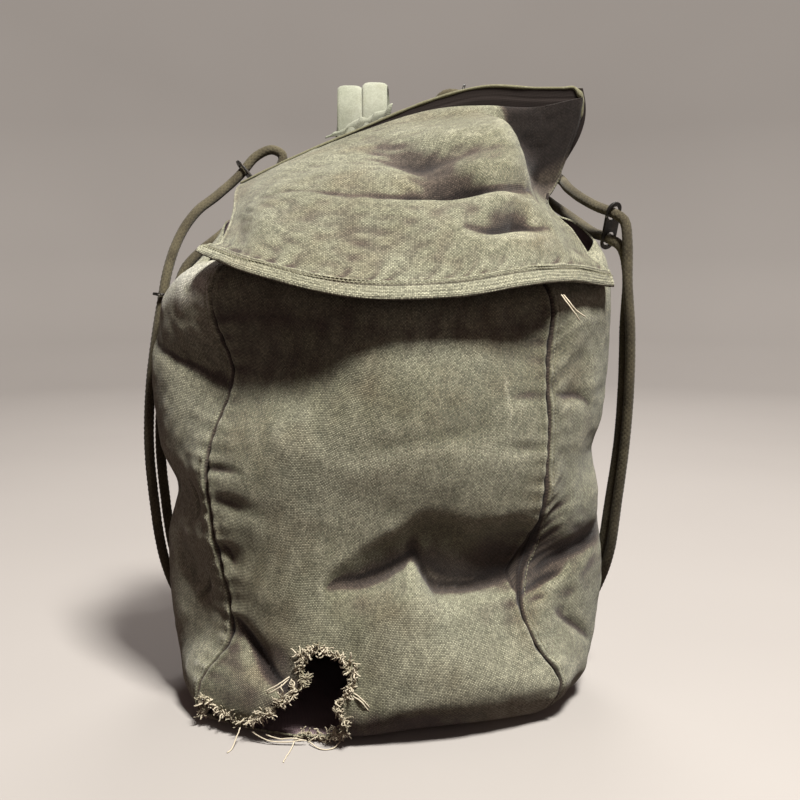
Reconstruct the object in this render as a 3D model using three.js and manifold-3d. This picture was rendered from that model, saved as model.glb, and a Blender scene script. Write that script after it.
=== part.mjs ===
// A stuffed canvas field pack standing on its base: front, back and side panels, a hemmed
// lid flap, two webbing shoulder straps, and on each side a closing cord with metal slides.
// Millimetres, +Z up, the front towards -Y, +X to the right as seen from the front.

import * as THREE from "three";
import { mergeVertices } from "three/addons/utils/BufferGeometryUtils.js";
import Module from "manifold-3d";

const wasm = await Module();
wasm.setup();

const { clamp, degToRad, lerp, smoothstep } = THREE.MathUtils;
const vec = (x, y, z) => new THREE.Vector3(x, y, z);

// Moves the pack so that its own box, without the cords, stands over the origin.
const SHIFT = vec(-3, -21.41, 0);

// Looks
const LOOKS = {
  canvas: new THREE.MeshStandardMaterial({ color: "#62624b", roughness: 0.95, metalness: 0 }),
  webbing: new THREE.MeshStandardMaterial({ color: "#8d937c", roughness: 0.9, metalness: 0 }),
  cord: new THREE.MeshStandardMaterial({ color: "#55523c", roughness: 0.95, metalness: 0 }),
  slide: new THREE.MeshStandardMaterial({ color: "#26241f", roughness: 0.5, metalness: 0.6 }),
};

// Facets across and up each cloth
const FRONT_COLUMNS = 21;
const SIDE_COLUMNS = 10;
const BACK_COLUMNS = 12;
const WALL_ROWS = 12;
const EDGE_ROWS = 5;
const LID_COLUMNS = 18;
const LID_ROWS = 13;
const STRAP_STEPS = 34;

// Cloth
const CANVAS = 1.8;
const SEAM_GAP = 0.8;
const HEM_WIDTH = 17;
const HEM_EXTRA = 1.4;

// The bag's plan: four arcs between four seams
const FRONT_SEAM_Y = -70;
const FRONT_FULLNESS = 2.3;
const BACK_SEAM_X = 150;
const BACK_SEAM_Y = 108;
const BACK_BULGE = 9;
const AXIS_Y = 18;
const FRONT_ARC = 300;
const SIDE_ARC = 240;
const BASE_DEPTH = 180;

// The bag's upper edge and the soft shoulder below it
const RIM_FRONT = 402;
const RIM_BACK = 450;
const SHOULDER_RADIUS = 44;
const SHOULDER_TURN = degToRad(72);
const TOP_EDGE_Y = 115;

// Sections of the stuffed bag. z: height; left, right: how far the sides reach;
// seamLeft, seamRight: where the front panel is sewn on; front: how far the front reaches.
const SECTIONS = [
  { z: 0, left: -185, right: 186, seamLeft: -160, seamRight: 162, front: -112 },
  { z: 40, left: -190, right: 195, seamLeft: -150, seamRight: 156, front: -118 },
  { z: 75, left: -194, right: 201, seamLeft: -128, seamRight: 136, front: -123 },
  { z: 110, left: -197, right: 204, seamLeft: -126, seamRight: 118, front: -121 },
  { z: 150, left: -199, right: 204, seamLeft: -137, seamRight: 123, front: -114 },
  { z: 200, left: -202, right: 202, seamLeft: -148, seamRight: 136, front: -114 },
  { z: 250, left: -207, right: 202, seamLeft: -144, seamRight: 141, front: -121 },
  { z: 315, left: -209, right: 207, seamLeft: -128, seamRight: 143, front: -122 },
  { z: 360, left: -206, right: 211, seamLeft: -135, seamRight: 145, front: -117 },
  { z: 450, left: -200, right: 209, seamLeft: -148, seamRight: 149, front: -110 },
];

// Roundness of the bottom edge, in general and around the bag. turn: 0 front left, 1 front right,
// 2 back right, 3 back left.
const FOOT_RADIUS = 28;
const FOOT = [
  { turn: 0, radius: 26 },
  { turn: 0.5, radius: 34 },
  { turn: 1, radius: 36 },
  { turn: 1.5, radius: 28 },
  { turn: 2, radius: 26 },
  { turn: 3, radius: 26 },
  { turn: 3.5, radius: 28 },
  { turn: 4, radius: 26 },
];

// Dents of the slack cloth. at: x on the front, y on a side; slope in degrees of the fold's
// own line; long, wide: its size; depth: how far it sinks, negative where it swells.
const FOLDS = [
  { face: "front", at: -8, z: 156, slope: 27, long: 125, wide: 44, depth: 13 },
  { face: "front", at: 84, z: 165, slope: -30, long: 110, wide: 46, depth: 13 },
  { face: "front", at: 36, z: 122, slope: 0, long: 110, wide: 70, depth: -8 },
  { face: "front", at: 10, z: 268, slope: 0, long: 200, wide: 130, depth: -7 },
  { face: "front", at: -95, z: 80, slope: -48, long: 110, wide: 38, depth: 14 },
  { face: "front", at: -62, z: 10, slope: 0, long: 150, wide: 80, depth: -17 },
  { face: "front", at: -108, z: 338, slope: 25, long: 120, wide: 80, depth: 9 },
  { face: "left", at: 5, z: 203, slope: 6, long: 170, wide: 48, depth: 13 },
  { face: "left", at: -35, z: 128, slope: 60, long: 80, wide: 36, depth: 8 },
  { face: "right", at: 0, z: 218, slope: -5, long: 170, wide: 52, depth: 13 },
  { face: "right", at: -35, z: 146, slope: 12, long: 100, wide: 30, depth: 8 },
];

// The lid, station by station across the pack. back: its sewn edge along the top of the back
// panel; hem: its free front edge; bulge: how far it swells up and forward between them;
// pinch: how far it is drawn sideways half way.
const LID = [
  { u: 0, backX: -143, backZ: 486, hemX: -160, hemY: -62, hemZ: 421, bulge: 8, pinch: 4 },
  { u: 0.15, backX: -92, backZ: 510, hemX: -106, hemY: -112, hemZ: 398, bulge: 24, pinch: 0 },
  { u: 0.35, backX: -25, backZ: 538, hemX: -22, hemY: -136, hemZ: 386, bulge: 34, pinch: 0 },
  { u: 0.55, backX: 42, backZ: 564, hemX: 60, hemY: -134, hemZ: 390, bulge: 40, pinch: 4 },
  { u: 0.72, backX: 97, backZ: 577, hemX: 118, hemY: -116, hemZ: 403, bulge: 42, pinch: 4 },
  { u: 0.86, backX: 146, backZ: 575, hemX: 160, hemY: -80, hemZ: 405, bulge: 22, pinch: -12 },
  { u: 1, backX: 196, backZ: 576, hemX: 214, hemY: -26, hemZ: 389, bulge: 2, pinch: -28 },
];
const LID_LENGTH = 300;
const LID_SPAN = 375;
const HEM_STEP = 0.004;
const LID_BACK_Y = 110.5;
const LID_BELOW_EDGE = 8;
const LID_SWELL = vec(0, -0.56, 0.83);

// Folds of the lid, by place across (u) and from its sewn edge to its hem (v).
const LID_FOLDS = [
  { u: 0.88, v: 0.24, slope: 78, long: 0.62, wide: 0.2, depth: 30 },
  { u: 0.74, v: 0.22, slope: 70, long: 0.5, wide: 0.16, depth: -8 },
  { u: 0.56, v: 0.44, slope: 12, long: 0.4, wide: 0.12, depth: 9 },
  { u: 0.8, v: 0.62, slope: 10, long: 0.26, wide: 0.12, depth: 8 },
  { u: 0.3, v: 0.35, slope: -14, long: 0.5, wide: 0.14, depth: 3 },
];

// The torn hole, seen from the front: x and z around its edge.
const TEAR = [
  [-147, 27], [-136, 16], [-124, 15], [-110, 21], [-98, 29], [-88, 39], [-78, 44],
  [-66, 57], [-70, 68], [-68, 80], [-58, 84], [-50, 90], [-40, 83], [-29, 80],
  [-24, 66], [-26, 52], [-36, 40], [-31, 26], [-33, 9], [-52, 4], [-75, 3],
  [-105, 3], [-130, 4], [-148, 12],
];

// Webbing
const STRAP_WIDTH = 24;
const STRAP_THICK = 2.4;
const STRAPS = [
  { name: "shoulder_strap_left", route: [
    [-34, 117.9, 470], [-34, 117.8, 505], [-34, 118.4, 540], [-34, 122, 566], [-34, 131, 582],
    [-34, 146, 579], [-36, 157, 545], [-48, 170, 480], [-76, 180, 390], [-104, 178, 290],
    [-124, 168, 190], [-132, 146, 100], [-134, 121, 58], [-134, 113, 42], [-134, 112.7, 28],
  ] },
  { name: "shoulder_strap_right", route: [
    [-9, 118.2, 470], [-9, 118.1, 505], [-9, 118.4, 540], [-9, 122, 568], [-9, 131, 585],
    [-8, 146, 581], [-4, 157, 545], [16, 170, 480], [54, 180, 390], [90, 178, 290],
    [117, 168, 190], [129, 146, 100], [133, 121, 58], [134, 113, 42], [134, 112.7, 28],
  ] },
];

// Cords, slides, keepers and tabs
const CORD = 9.5;
const CORD_SIDES = 8;
const CORD_STEPS = 70;
const SLIDE_LONG = 48;
const SLIDE_WIDE = 18;
const SLIDE_THICK = 2.5;
const SLIDE_HOLE = 13.4;
const SLIDE_PITCH = 26;
const KEEPER_WALL = 2;
const KEEPER_LONG = 10;
const KEEPER_STAND = 10.3;
const KEEPER_ROOM = 1.6;
const TAB_LONG = 30;
const TAB_WIDE = 24;
const TAB_THICK = 5;
const TAB_ROUND = 4;
const TAB_STAND = 1;

// Each route runs from the tab up the side, through the slides, over the loop behind the
// back panel and down again.
const CORD_ROUTES = {
  left: [
    [-187, 68, 24], [-188.5, 69.5, 44], [-199, 62, 68], [-210, 53, 96], [-217, 43, 130],
    [-222, 37, 180], [-225, 35, 235],
    [-223, 39, 290], [-217, 45, 340], [-211, 50, 376], [-206, 56, 404], [-197, 72, 434],
    [-184, 92, 457], [-166, 114, 474], [-146, 131, 494], [-130, 138, 513], [-114, 139, 520],
    [-103, 138, 514], [-107, 135, 500], [-121, 131, 487], [-134, 123.3, 470], [-147, 122, 450],
    [-162, 115, 436], [-180, 99, 420], [-195, 84, 402], [-203, 75, 376], [-209, 66, 340],
    [-215, 56, 290], [-217, 49, 235], [-214, 51, 180], [-209, 57, 130], [-202, 68, 96],
    [-193, 75, 68], [-183, 80, 44], [-181.5, 79, 24],
  ],
  right: [
    [189, 69, 24], [191, 70.5, 44], [203, 62, 68], [214, 53, 96], [221, 40, 130],
    [225, 30, 180], [229, 19, 240],
    [230, 9, 300], [228, 2, 350], [224, -1, 392], [223, -1, 428], [220, 2, 448],
    [211, 8, 455], [199, 24, 461], [187, 50, 470], [179, 80, 480], [175, 112, 490],
    [158, 133, 504], [136, 135, 524], [116, 135, 545], [98, 135, 562], [76, 135, 574],
    [61, 136, 574], [52, 136, 563], [56, 135, 552], [70, 135, 549], [88, 130, 540],
    [104, 125, 522], [126, 127, 500], [146, 131, 484], [166, 126, 468], [180, 104, 456],
    [190, 74, 446], [199, 44, 437], [209, 20, 432], [219, 8, 424], [225, 8, 402],
    [225, 14, 350], [226, 20, 300], [225, 30, 240], [220, 42, 180], [215, 52, 130],
    [208, 65, 96], [197, 74, 68], [185.5, 80.5, 44], [183, 79, 24],
  ],
};

// Slides: the two places where a cord passes through each.
const SLIDES = [
  { name: "shoulder_slide_left", first: [-211, 50.4, 376], second: [-203, 75.4, 376], way: [0.12, 0.12, 1] },
  { name: "shoulder_slide_right", first: [211, 8, 455], second: [209, 20, 432], way: [-0.57, 0.71, 0.41] },
  { name: "top_slide_left", first: [-146, 131, 494], second: [-121, 131, 487], way: [0.75, 0.25, 0.6] },
  { name: "top_slide_right", first: [76, 135, 574], second: [70, 135, 549], way: [-0.94, 0, 0.33] },
];

// Keepers on the back panel: the cord's middle there and the way that it runs.
const KEEPERS = [
  { name: "cord_keeper_left", at: [-134, 123.3, 470], way: [-0.57, -0.15, -0.82] },
  { name: "cord_keeper_right", at: [104, 125, 522], way: [0.66, -0.05, -0.75] },
];

// Tabs at the cords' feet, by their place on the bag's wall.
const TABS = [
  { name: "cord_tab_left", turn: 3.22, rise: 1.02 },
  { name: "cord_tab_right", turn: 1.78, rise: 1.02 },
];

// A column of a table at a place between its rows, joined smoothly.
function along(rows, key, at, column) {
  const last = rows.length - 1;
  let i = 0;
  while (i < last - 1 && at > rows[i + 1][key]) {
    i += 1;
  }
  const slope = (j) => {
    const before = rows[Math.max(j - 1, 0)];
    const after = rows[Math.min(j + 1, last)];
    return (after[column] - before[column]) / (after[key] - before[key]);
  };
  const span = rows[i + 1][key] - rows[i][key];
  const t = clamp((at - rows[i][key]) / span, 0, 1);
  const ease = t * t * (3 - 2 * t);
  const leave = t * (1 - t) * (1 - t) * span * slope(i);
  const arrive = t * t * (t - 1) * span * slope(i + 1);
  return lerp(rows[i][column], rows[i + 1][column], ease) + leave + arrive;
}

// How full an arc is at t, 0 at its ends and 1 in the middle.
function crown(t, power) {
  return 1 - Math.abs(2 * t - 1) ** power;
}

// The depth of one dent at (a, b) from its middle.
function dent(fold, a, b) {
  const slope = degToRad(fold.slope);
  const alongFold = (a * Math.cos(slope) + b * Math.sin(slope)) * 2 / fold.long;
  const acrossFold = (b * Math.cos(slope) - a * Math.sin(slope)) * 2 / fold.wide;
  return fold.depth * Math.exp(-alongFold * alongFold - acrossFold * acrossFold);
}

// The bag's outline in plan: turn runs once around in four arcs, from the front left seam.
function section(turn, z) {
  const row = (column) => along(SECTIONS, "z", z, column);
  const arc = Math.min(Math.floor(turn), 3);
  const t = turn - arc;
  const seamLeft = row("seamLeft");
  const seamRight = row("seamRight");
  if (arc === 0) {
    const y = FRONT_SEAM_Y + (row("front") - FRONT_SEAM_Y) * crown(t, FRONT_FULLNESS);
    return vec(lerp(seamLeft, seamRight, t), y, z);
  }
  if (arc === 1) {
    const swell = row("right") - (seamRight + BACK_SEAM_X) / 2;
    const x = lerp(seamRight, BACK_SEAM_X, t) + swell * Math.sin(Math.PI * t);
    return vec(x, lerp(FRONT_SEAM_Y, BACK_SEAM_Y, t), z);
  }
  if (arc === 2) {
    return vec(lerp(BACK_SEAM_X, -BACK_SEAM_X, t), BACK_SEAM_Y + BACK_BULGE * crown(t, 2), z);
  }
  const swell = row("left") - (seamLeft - BACK_SEAM_X) / 2;
  const x = lerp(-BACK_SEAM_X, seamLeft, t) + swell * Math.sin(Math.PI * t);
  return vec(x, lerp(BACK_SEAM_Y, FRONT_SEAM_Y, t), z);
}

// Sinks a point of the bag by the dents of the face that it lies on.
function sink(point) {
  const onFront = 1 - smoothstep(point.y, -70, -15);
  const onSide = smoothstep(Math.abs(point.x), 95, 140);
  const moved = point.clone();
  for (const fold of FOLDS) {
    if (fold.face === "front") {
      moved.y += onFront * dent(fold, point.x - fold.at, point.z - fold.z);
    } else if ((fold.face === "left") === (point.x < 0)) {
      const depth = onSide * dent(fold, point.y - fold.at, point.z - fold.z);
      moved.x -= Math.sign(point.x) * depth;
    }
  }
  return moved;
}

// A point of the bag's outer face. rise: 0 to 1 around the bottom edge, 1 to 2 up the wall,
// 2 to 3 over the shoulder to the rim.
function wall(turnAround, rise) {
  const turn = ((turnAround % 4) + 4) % 4;
  const foot = along(FOOT, "turn", turn, "radius");
  const plan = section(turn, RIM_FRONT);
  const rim = lerp(RIM_FRONT, RIM_BACK, smoothstep(plan.y, -60, BACK_SEAM_Y));
  const bend = 1 - smoothstep(plan.y, 60, BACK_SEAM_Y);
  const shoulder = rim - SHOULDER_RADIUS * Math.sin(SHOULDER_TURN);
  let z = lerp(foot, shoulder, rise - 1);
  let inset = 0;
  if (rise < 1) {
    const angle = rise * Math.PI / 2;
    z = foot * (1 - Math.cos(angle));
    inset = foot * (1 - Math.sin(angle));
  } else if (rise > 2) {
    const angle = (rise - 2) * SHOULDER_TURN;
    z = shoulder + SHOULDER_RADIUS * Math.sin(angle);
    inset = bend * SHOULDER_RADIUS * (1 - Math.cos(angle));
  }
  const point = section(turn, z);
  const out = vec(point.x, point.y - AXIS_Y, 0);
  point.addScaledVector(out.normalize(), -inset);
  return sink(point);
}

function wallNormal(turn, rise) {
  const across = wall(turn + 0.004, rise).sub(wall(turn - 0.004, rise));
  const up = wall(turn, Math.min(rise + 0.01, 3)).sub(wall(turn, Math.max(rise - 0.01, 0)));
  return across.cross(up).normalize();
}

// Closed cloth between two grids of points, rows from below upward.
function cloth(outer, inner) {
  const rows = outer.length;
  const columns = outer[0].length;
  const position = [];
  const index = [];
  for (const grid of [outer, inner]) {
    for (const row of grid) {
      for (const point of row) {
        position.push(point.x, point.y, point.z);
      }
    }
  }
  const o = (j, i) => j * columns + i;
  const n = (j, i) => rows * columns + j * columns + i;
  const quad = (a, b, c, d) => index.push(a, b, c, a, c, d);
  for (let j = 0; j < rows - 1; j += 1) {
    for (let i = 0; i < columns - 1; i += 1) {
      quad(o(j, i), o(j, i + 1), o(j + 1, i + 1), o(j + 1, i));
      quad(n(j, i), n(j + 1, i), n(j + 1, i + 1), n(j, i + 1));
    }
    quad(o(j, 0), o(j + 1, 0), n(j + 1, 0), n(j, 0));
    quad(o(j, columns - 1), n(j, columns - 1), n(j + 1, columns - 1), o(j + 1, columns - 1));
  }
  for (let i = 0; i < columns - 1; i += 1) {
    quad(o(0, i), n(0, i), n(0, i + 1), o(0, i + 1));
    quad(o(rows - 1, i), o(rows - 1, i + 1), n(rows - 1, i + 1), n(rows - 1, i));
  }
  const geometry = new THREE.BufferGeometry();
  geometry.setAttribute("position", new THREE.Float32BufferAttribute(position, 3));
  geometry.setIndex(index);
  return geometry;
}

// Even steps from one value to another, both included.
function steps(from, to, count) {
  return Array.from({ length: count + 1 }, (_, k) => lerp(from, to, k / count));
}

// Rows of a panel from its lower edge, lifted by a gap, to the rim.
function riseRows(gap) {
  const start = gap / (FOOT_RADIUS * Math.PI / 2);
  const foot = steps(start, 1, EDGE_ROWS);
  return [...foot, ...steps(1, 2, WALL_ROWS).slice(1), ...steps(2, 3, EDGE_ROWS).slice(1)];
}

// A panel of the bag between two seams, as outer and inner grids.
function panelGrids(firstTurn, columns, rises, gap) {
  const turns = steps(firstTurn + gap, firstTurn + 1 - gap, columns);
  const facing = [firstTurn, ...turns.slice(1, -1), firstTurn + 1];
  const outer = [];
  const inner = [];
  for (const rise of rises) {
    const row = turns.map((turn) => wall(turn, rise));
    outer.push(row);
    inner.push(row.map((point, i) => {
      return point.clone().addScaledVector(wallNormal(facing[i], rise), -CANVAS);
    }));
  }
  return { outer, inner };
}

function sidePanel(firstTurn) {
  const gap = SEAM_GAP / 2 / SIDE_ARC;
  const grids = panelGrids(firstTurn, SIDE_COLUMNS, riseRows(SEAM_GAP), gap);
  return cloth(grids.outer, grids.inner);
}

// The base as a patch between the lower edges of the four panels. s: left to right,
// r: front to back.
function basePoint(s, r) {
  const front = wall(s, 0);
  const back = wall(3 - s, 0);
  const left = wall(4 - r, 0);
  const right = wall(1 + r, 0);
  const point = vec(0, 0, 0);
  point.addScaledVector(front, 1 - r).addScaledVector(back, r);
  point.addScaledVector(left, 1 - s).addScaledVector(right, s);
  point.addScaledVector(wall(0, 0), -(1 - s) * (1 - r)).addScaledVector(wall(1, 0), -s * (1 - r));
  point.addScaledVector(wall(3, 0), -(1 - s) * r).addScaledVector(wall(2, 0), -s * r);
  return vec(point.x, point.y, 0);
}

function frontPanel() {
  const gap = SEAM_GAP / 2 / FRONT_ARC;
  const grids = panelGrids(0, FRONT_COLUMNS, riseRows(0), gap);
  const places = steps(gap, 1 - gap, FRONT_COLUMNS);
  for (const r of [0.2, 0.45, 0.72, 1 - SEAM_GAP / BASE_DEPTH]) {
    const row = places.map((s) => basePoint(s, r));
    grids.outer.unshift(row);
    grids.inner.unshift(row.map((point) => vec(point.x, point.y, CANVAS)));
  }
  return cut(cloth(grids.outer, grids.inner), tearCutter());
}

// A prism through the front wall in the outline of the tear.
function tearCutter() {
  const shape = new THREE.Shape(TEAR.map(([x, z]) => new THREE.Vector2(x, z)));
  const prism = new THREE.ExtrudeGeometry(shape, { depth: 130, bevelEnabled: false });
  prism.rotateX(Math.PI / 2);
  prism.translate(0, -45, 0);
  return prism;
}

function toSolid(geometry) {
  const bare = geometry.clone();
  bare.deleteAttribute("normal");
  bare.deleteAttribute("uv");
  const merged = mergeVertices(bare, 1e-4);
  return new wasm.Manifold(new wasm.Mesh({
    numProp: 3,
    vertProperties: new Float32Array(merged.attributes.position.array),
    triVerts: new Uint32Array(merged.index.array),
  }));
}

function cut(body, tool) {
  const mesh = toSolid(body).subtract(toSolid(tool)).getMesh();
  const geometry = new THREE.BufferGeometry();
  geometry.setAttribute("position", new THREE.BufferAttribute(mesh.vertProperties.slice(), 3));
  geometry.setIndex(new THREE.BufferAttribute(mesh.triVerts.slice(), 1));
  return geometry;
}

// The top edge of the back panel across the pack, u from left to right.
function topEdge(u) {
  return vec(along(LID, "u", u, "backX"), TOP_EDGE_Y, along(LID, "u", u, "backZ"));
}

function backPanel() {
  const gap = SEAM_GAP / 2 / FRONT_ARC;
  const grids = panelGrids(2, BACK_COLUMNS, riseRows(SEAM_GAP), gap);
  const rimRow = grids.outer[grids.outer.length - 1];
  for (const lift of steps(0, 1, 4).slice(1)) {
    const row = rimRow.map((point, i) => point.clone().lerp(topEdge(1 - i / BACK_COLUMNS), lift));
    grids.outer.push(row);
    grids.inner.push(row.map((point) => vec(point.x, point.y - CANVAS, point.z)));
  }
  return cloth(grids.outer, grids.inner);
}

function lidPoint(u, v) {
  const row = (column) => along(LID, "u", u, column);
  const back = vec(row("backX"), LID_BACK_Y, row("backZ") - LID_BELOW_EDGE);
  const hem = vec(row("hemX"), row("hemY"), row("hemZ"));
  const point = back.lerp(hem, v);
  const arch = Math.sin(Math.PI * v ** 0.9);
  point.addScaledVector(LID_SWELL, row("bulge") * arch);
  point.x += row("pinch") * Math.sin(Math.PI * v) ** 2;
  const freely = smoothstep(v, 0, 0.1);
  for (const fold of LID_FOLDS) {
    point.addScaledVector(LID_SWELL, -freely * dent(fold, u - fold.u, v - fold.v));
  }
  return point;
}

function lidNormal(u, v) {
  const d = 0.01;
  const across = lidPoint(Math.min(u + d, 1), v).sub(lidPoint(Math.max(u - d, 0), v));
  const up = lidPoint(u, Math.max(v - d, 0)).sub(lidPoint(u, Math.min(v + d, 1)));
  return across.cross(up).normalize();
}

function lidFlap() {
  const hem = HEM_WIDTH / LID_LENGTH;
  const sideHem = HEM_WIDTH / LID_SPAN;
  const us = [0, sideHem, sideHem + HEM_STEP, ...steps(0.1, 0.9, LID_COLUMNS)];
  us.push(1 - sideHem - HEM_STEP, 1 - sideHem, 1);
  const vs = [1, 1 - hem, 1 - hem - HEM_STEP, ...steps(0.86, 0, LID_ROWS)];
  const outer = [];
  const inner = [];
  for (const v of vs) {
    const outerRow = [];
    const innerRow = [];
    for (const u of us) {
      const inHem = v >= 1 - hem || u <= sideHem || u >= 1 - sideHem;
      const normal = lidNormal(u, v);
      const point = lidPoint(u, v);
      outerRow.push(point.clone().addScaledVector(normal, inHem && v > 0.05 ? HEM_EXTRA : 0));
      innerRow.push(point.clone().addScaledVector(normal, -CANVAS));
    }
    outer.push(outerRow);
    inner.push(innerRow);
  }
  return cloth(outer, inner);
}

// A flat web along a route, its width kept as level as the route allows.
function webbing(route) {
  const path = new THREE.CatmullRomCurve3(route.map((p) => vec(...p)), false, "centripetal");
  const outer = [];
  const inner = [];
  for (const t of steps(0, 1, STRAP_STEPS)) {
    const centre = path.getPointAt(t);
    const tangent = path.getTangentAt(t);
    const across = vec(1, 0, 0).addScaledVector(tangent, -tangent.x).normalize();
    const face = across.clone().cross(tangent);
    const corner = (side, layer) => {
      const point = centre.clone().addScaledVector(across, side * STRAP_WIDTH / 2);
      return point.addScaledVector(face, layer * STRAP_THICK / 2);
    };
    outer.push([corner(-1, 1), corner(1, 1)]);
    inner.push([corner(-1, -1), corner(1, -1)]);
  }
  return cloth(outer, inner);
}

function cord(route) {
  const path = new THREE.CatmullRomCurve3(route.map((p) => vec(...p)), false, "centripetal");
  const round = Array.from({ length: CORD_SIDES }, (_, k) => {
    const angle = 2 * Math.PI * k / CORD_SIDES;
    return new THREE.Vector2(Math.cos(angle), Math.sin(angle)).multiplyScalar(CORD / 2);
  });
  const options = { steps: CORD_STEPS, extrudePath: path, bevelEnabled: false };
  return new THREE.ExtrudeGeometry(new THREE.Shape(round), options);
}

// Sets a flat shape, made in XY and extruded along Z, at a place with its own axes.
function place(geometry, origin, xAxis, zAxis) {
  const z = zAxis.clone().normalize();
  const x = xAxis.clone().addScaledVector(z, -xAxis.dot(z)).normalize();
  const y = z.clone().cross(x);
  const matrix = new THREE.Matrix4().makeBasis(x, y, z).setPosition(origin);
  return geometry.applyMatrix4(matrix);
}

function slide(row) {
  const first = vec(...row.first);
  const second = vec(...row.second);
  const round = SLIDE_WIDE / 2;
  const straight = SLIDE_LONG / 2 - round;
  const shape = new THREE.Shape();
  shape.absarc(straight, 0, round, -Math.PI / 2, Math.PI / 2, false);
  shape.absarc(-straight, 0, round, Math.PI / 2, Math.PI * 1.5, false);
  for (const side of [-1, 1]) {
    const hole = new THREE.Path();
    hole.absarc(side * SLIDE_PITCH / 2, 0, SLIDE_HOLE / 2, 0, 2 * Math.PI, true);
    shape.holes.push(hole);
  }
  const options = { depth: SLIDE_THICK, bevelEnabled: false, curveSegments: 7 };
  const plate = new THREE.ExtrudeGeometry(shape, options);
  plate.translate(0, 0, -SLIDE_THICK / 2);
  const middle = first.clone().lerp(second, 0.5);
  return place(plate, middle, second.clone().sub(first), vec(...row.way));
}

// An arch of webbing on the back panel that a cord runs through.
function keeper(row) {
  const inside = CORD / 2 + KEEPER_ROOM;
  const outside = inside + KEEPER_WALL;
  const foot = SEAM_GAP - KEEPER_STAND;
  const shape = new THREE.Shape();
  shape.moveTo(outside, foot);
  shape.lineTo(outside, 0);
  shape.absarc(0, 0, outside, 0, Math.PI, false);
  shape.lineTo(-outside, foot);
  shape.lineTo(-inside, foot);
  shape.lineTo(-inside, 0);
  shape.absarc(0, 0, inside, Math.PI, 0, true);
  shape.lineTo(inside, foot);
  const arch = new THREE.ExtrudeGeometry(shape, {
    depth: KEEPER_LONG, bevelEnabled: false, curveSegments: 8,
  });
  arch.translate(0, 0, -KEEPER_LONG / 2);
  const direction = vec(...row.way).normalize();
  const sideways = vec(0, 1, 0).cross(direction);
  return place(arch, vec(...row.at), sideways, direction);
}

// A folded tab sewn to the side of the bag, at the foot of a cord.
function tab(row) {
  const { turn, rise } = row;
  const shape = new THREE.Shape();
  const w = TAB_WIDE / 2;
  const l = TAB_LONG / 2;
  const r = TAB_ROUND;
  shape.absarc(w - r, l - r, r, 0, Math.PI / 2, false);
  shape.absarc(-w + r, l - r, r, Math.PI / 2, Math.PI, false);
  shape.absarc(-w + r, -l + r, r, Math.PI, Math.PI * 1.5, false);
  shape.absarc(w - r, -l + r, r, Math.PI * 1.5, Math.PI * 2, false);
  const pad = new THREE.ExtrudeGeometry(shape, {
    depth: TAB_THICK, bevelEnabled: false, curveSegments: 4,
  });
  const normal = wallNormal(turn, rise);
  const across = wall(turn + 0.01, rise).sub(wall(turn - 0.01, rise));
  const origin = wall(turn, rise).addScaledVector(normal, TAB_STAND);
  return place(pad, origin, across, normal);
}

const pack = new THREE.Group();

function add(name, geometry, look) {
  const mesh = new THREE.Mesh(geometry, LOOKS[look]);
  mesh.geometry.translate(SHIFT.x, SHIFT.y, SHIFT.z);
  mesh.name = name;
  pack.add(mesh);
}

add("front_panel", frontPanel(), "canvas");
add("back_panel", backPanel(), "canvas");
add("side_panel_left", sidePanel(3), "canvas");
add("side_panel_right", sidePanel(1), "canvas");
add("lid_flap", lidFlap(), "canvas");
for (const row of STRAPS) {
  add(row.name, webbing(row.route), "webbing");
}
for (const row of SLIDES) {
  add(row.name, slide(row), "slide");
}
add("side_cord_left", cord(CORD_ROUTES.left), "cord");
add("side_cord_right", cord(CORD_ROUTES.right), "cord");
for (const row of KEEPERS) {
  add(row.name, keeper(row), "webbing");
}
for (const row of TABS) {
  add(row.name, tab(row), "webbing");
}

export default pack;
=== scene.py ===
# A worn canvas field pack: cloth panels with lapped seams, a hemmed lid, webbing shoulder straps,
# braided closing cords with metal slides, and a torn lower corner with its frayed edge.
# Shapes are worked out in millimetres in the bag's own coordinates: x from its middle, the front
# towards -Y, z up. to_frame() moves them into the frame, in metres.

import math

import bpy
import numpy as np
from mathutils import Matrix, Vector


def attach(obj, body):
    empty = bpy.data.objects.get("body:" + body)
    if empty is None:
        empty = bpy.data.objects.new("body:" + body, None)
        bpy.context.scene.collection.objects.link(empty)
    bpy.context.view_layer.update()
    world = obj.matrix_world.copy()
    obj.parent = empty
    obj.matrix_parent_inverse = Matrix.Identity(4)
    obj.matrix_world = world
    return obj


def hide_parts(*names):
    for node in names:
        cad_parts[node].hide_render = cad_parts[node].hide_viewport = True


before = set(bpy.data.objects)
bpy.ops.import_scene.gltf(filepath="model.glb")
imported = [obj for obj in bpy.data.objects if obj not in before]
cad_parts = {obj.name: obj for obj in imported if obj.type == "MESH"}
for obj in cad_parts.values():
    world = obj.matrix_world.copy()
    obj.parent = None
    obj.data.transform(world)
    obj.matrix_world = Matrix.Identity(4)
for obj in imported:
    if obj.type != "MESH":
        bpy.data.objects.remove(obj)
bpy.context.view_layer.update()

MM = 0.001
SHIFT = np.array([-3.0, -21.41, 0.0])
BODY = "root"


def table(names, rows):
    """The columns of a table, by name."""
    return dict(zip(names.split(), np.array(rows, float).T))


# Camera, as the photograph was taken
CAMERA_PLACE = (0.013, -1.1414, 0.441)
CAMERA_PITCH = 8
CAMERA_LENS = 54.9
CAMERA_SENSOR = 36

# Cloth
CANVAS = 1.8
HEM_WIDTH = 17
HEM_EXTRA = 2
YARN = 1.45
WEBBING_YARN = 1.1

# The bag's plan: four arcs between four seams
FRONT_SEAM_Y = -70
FRONT_FULLNESS = 2.3
BACK_SEAM_X = 150
BACK_SEAM_Y = 108
BACK_BULGE = 9
AXIS_Y = 18
FRONT_ARC = 330
SIDE_ARC = 240
BASE_DEPTH = 180

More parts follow.
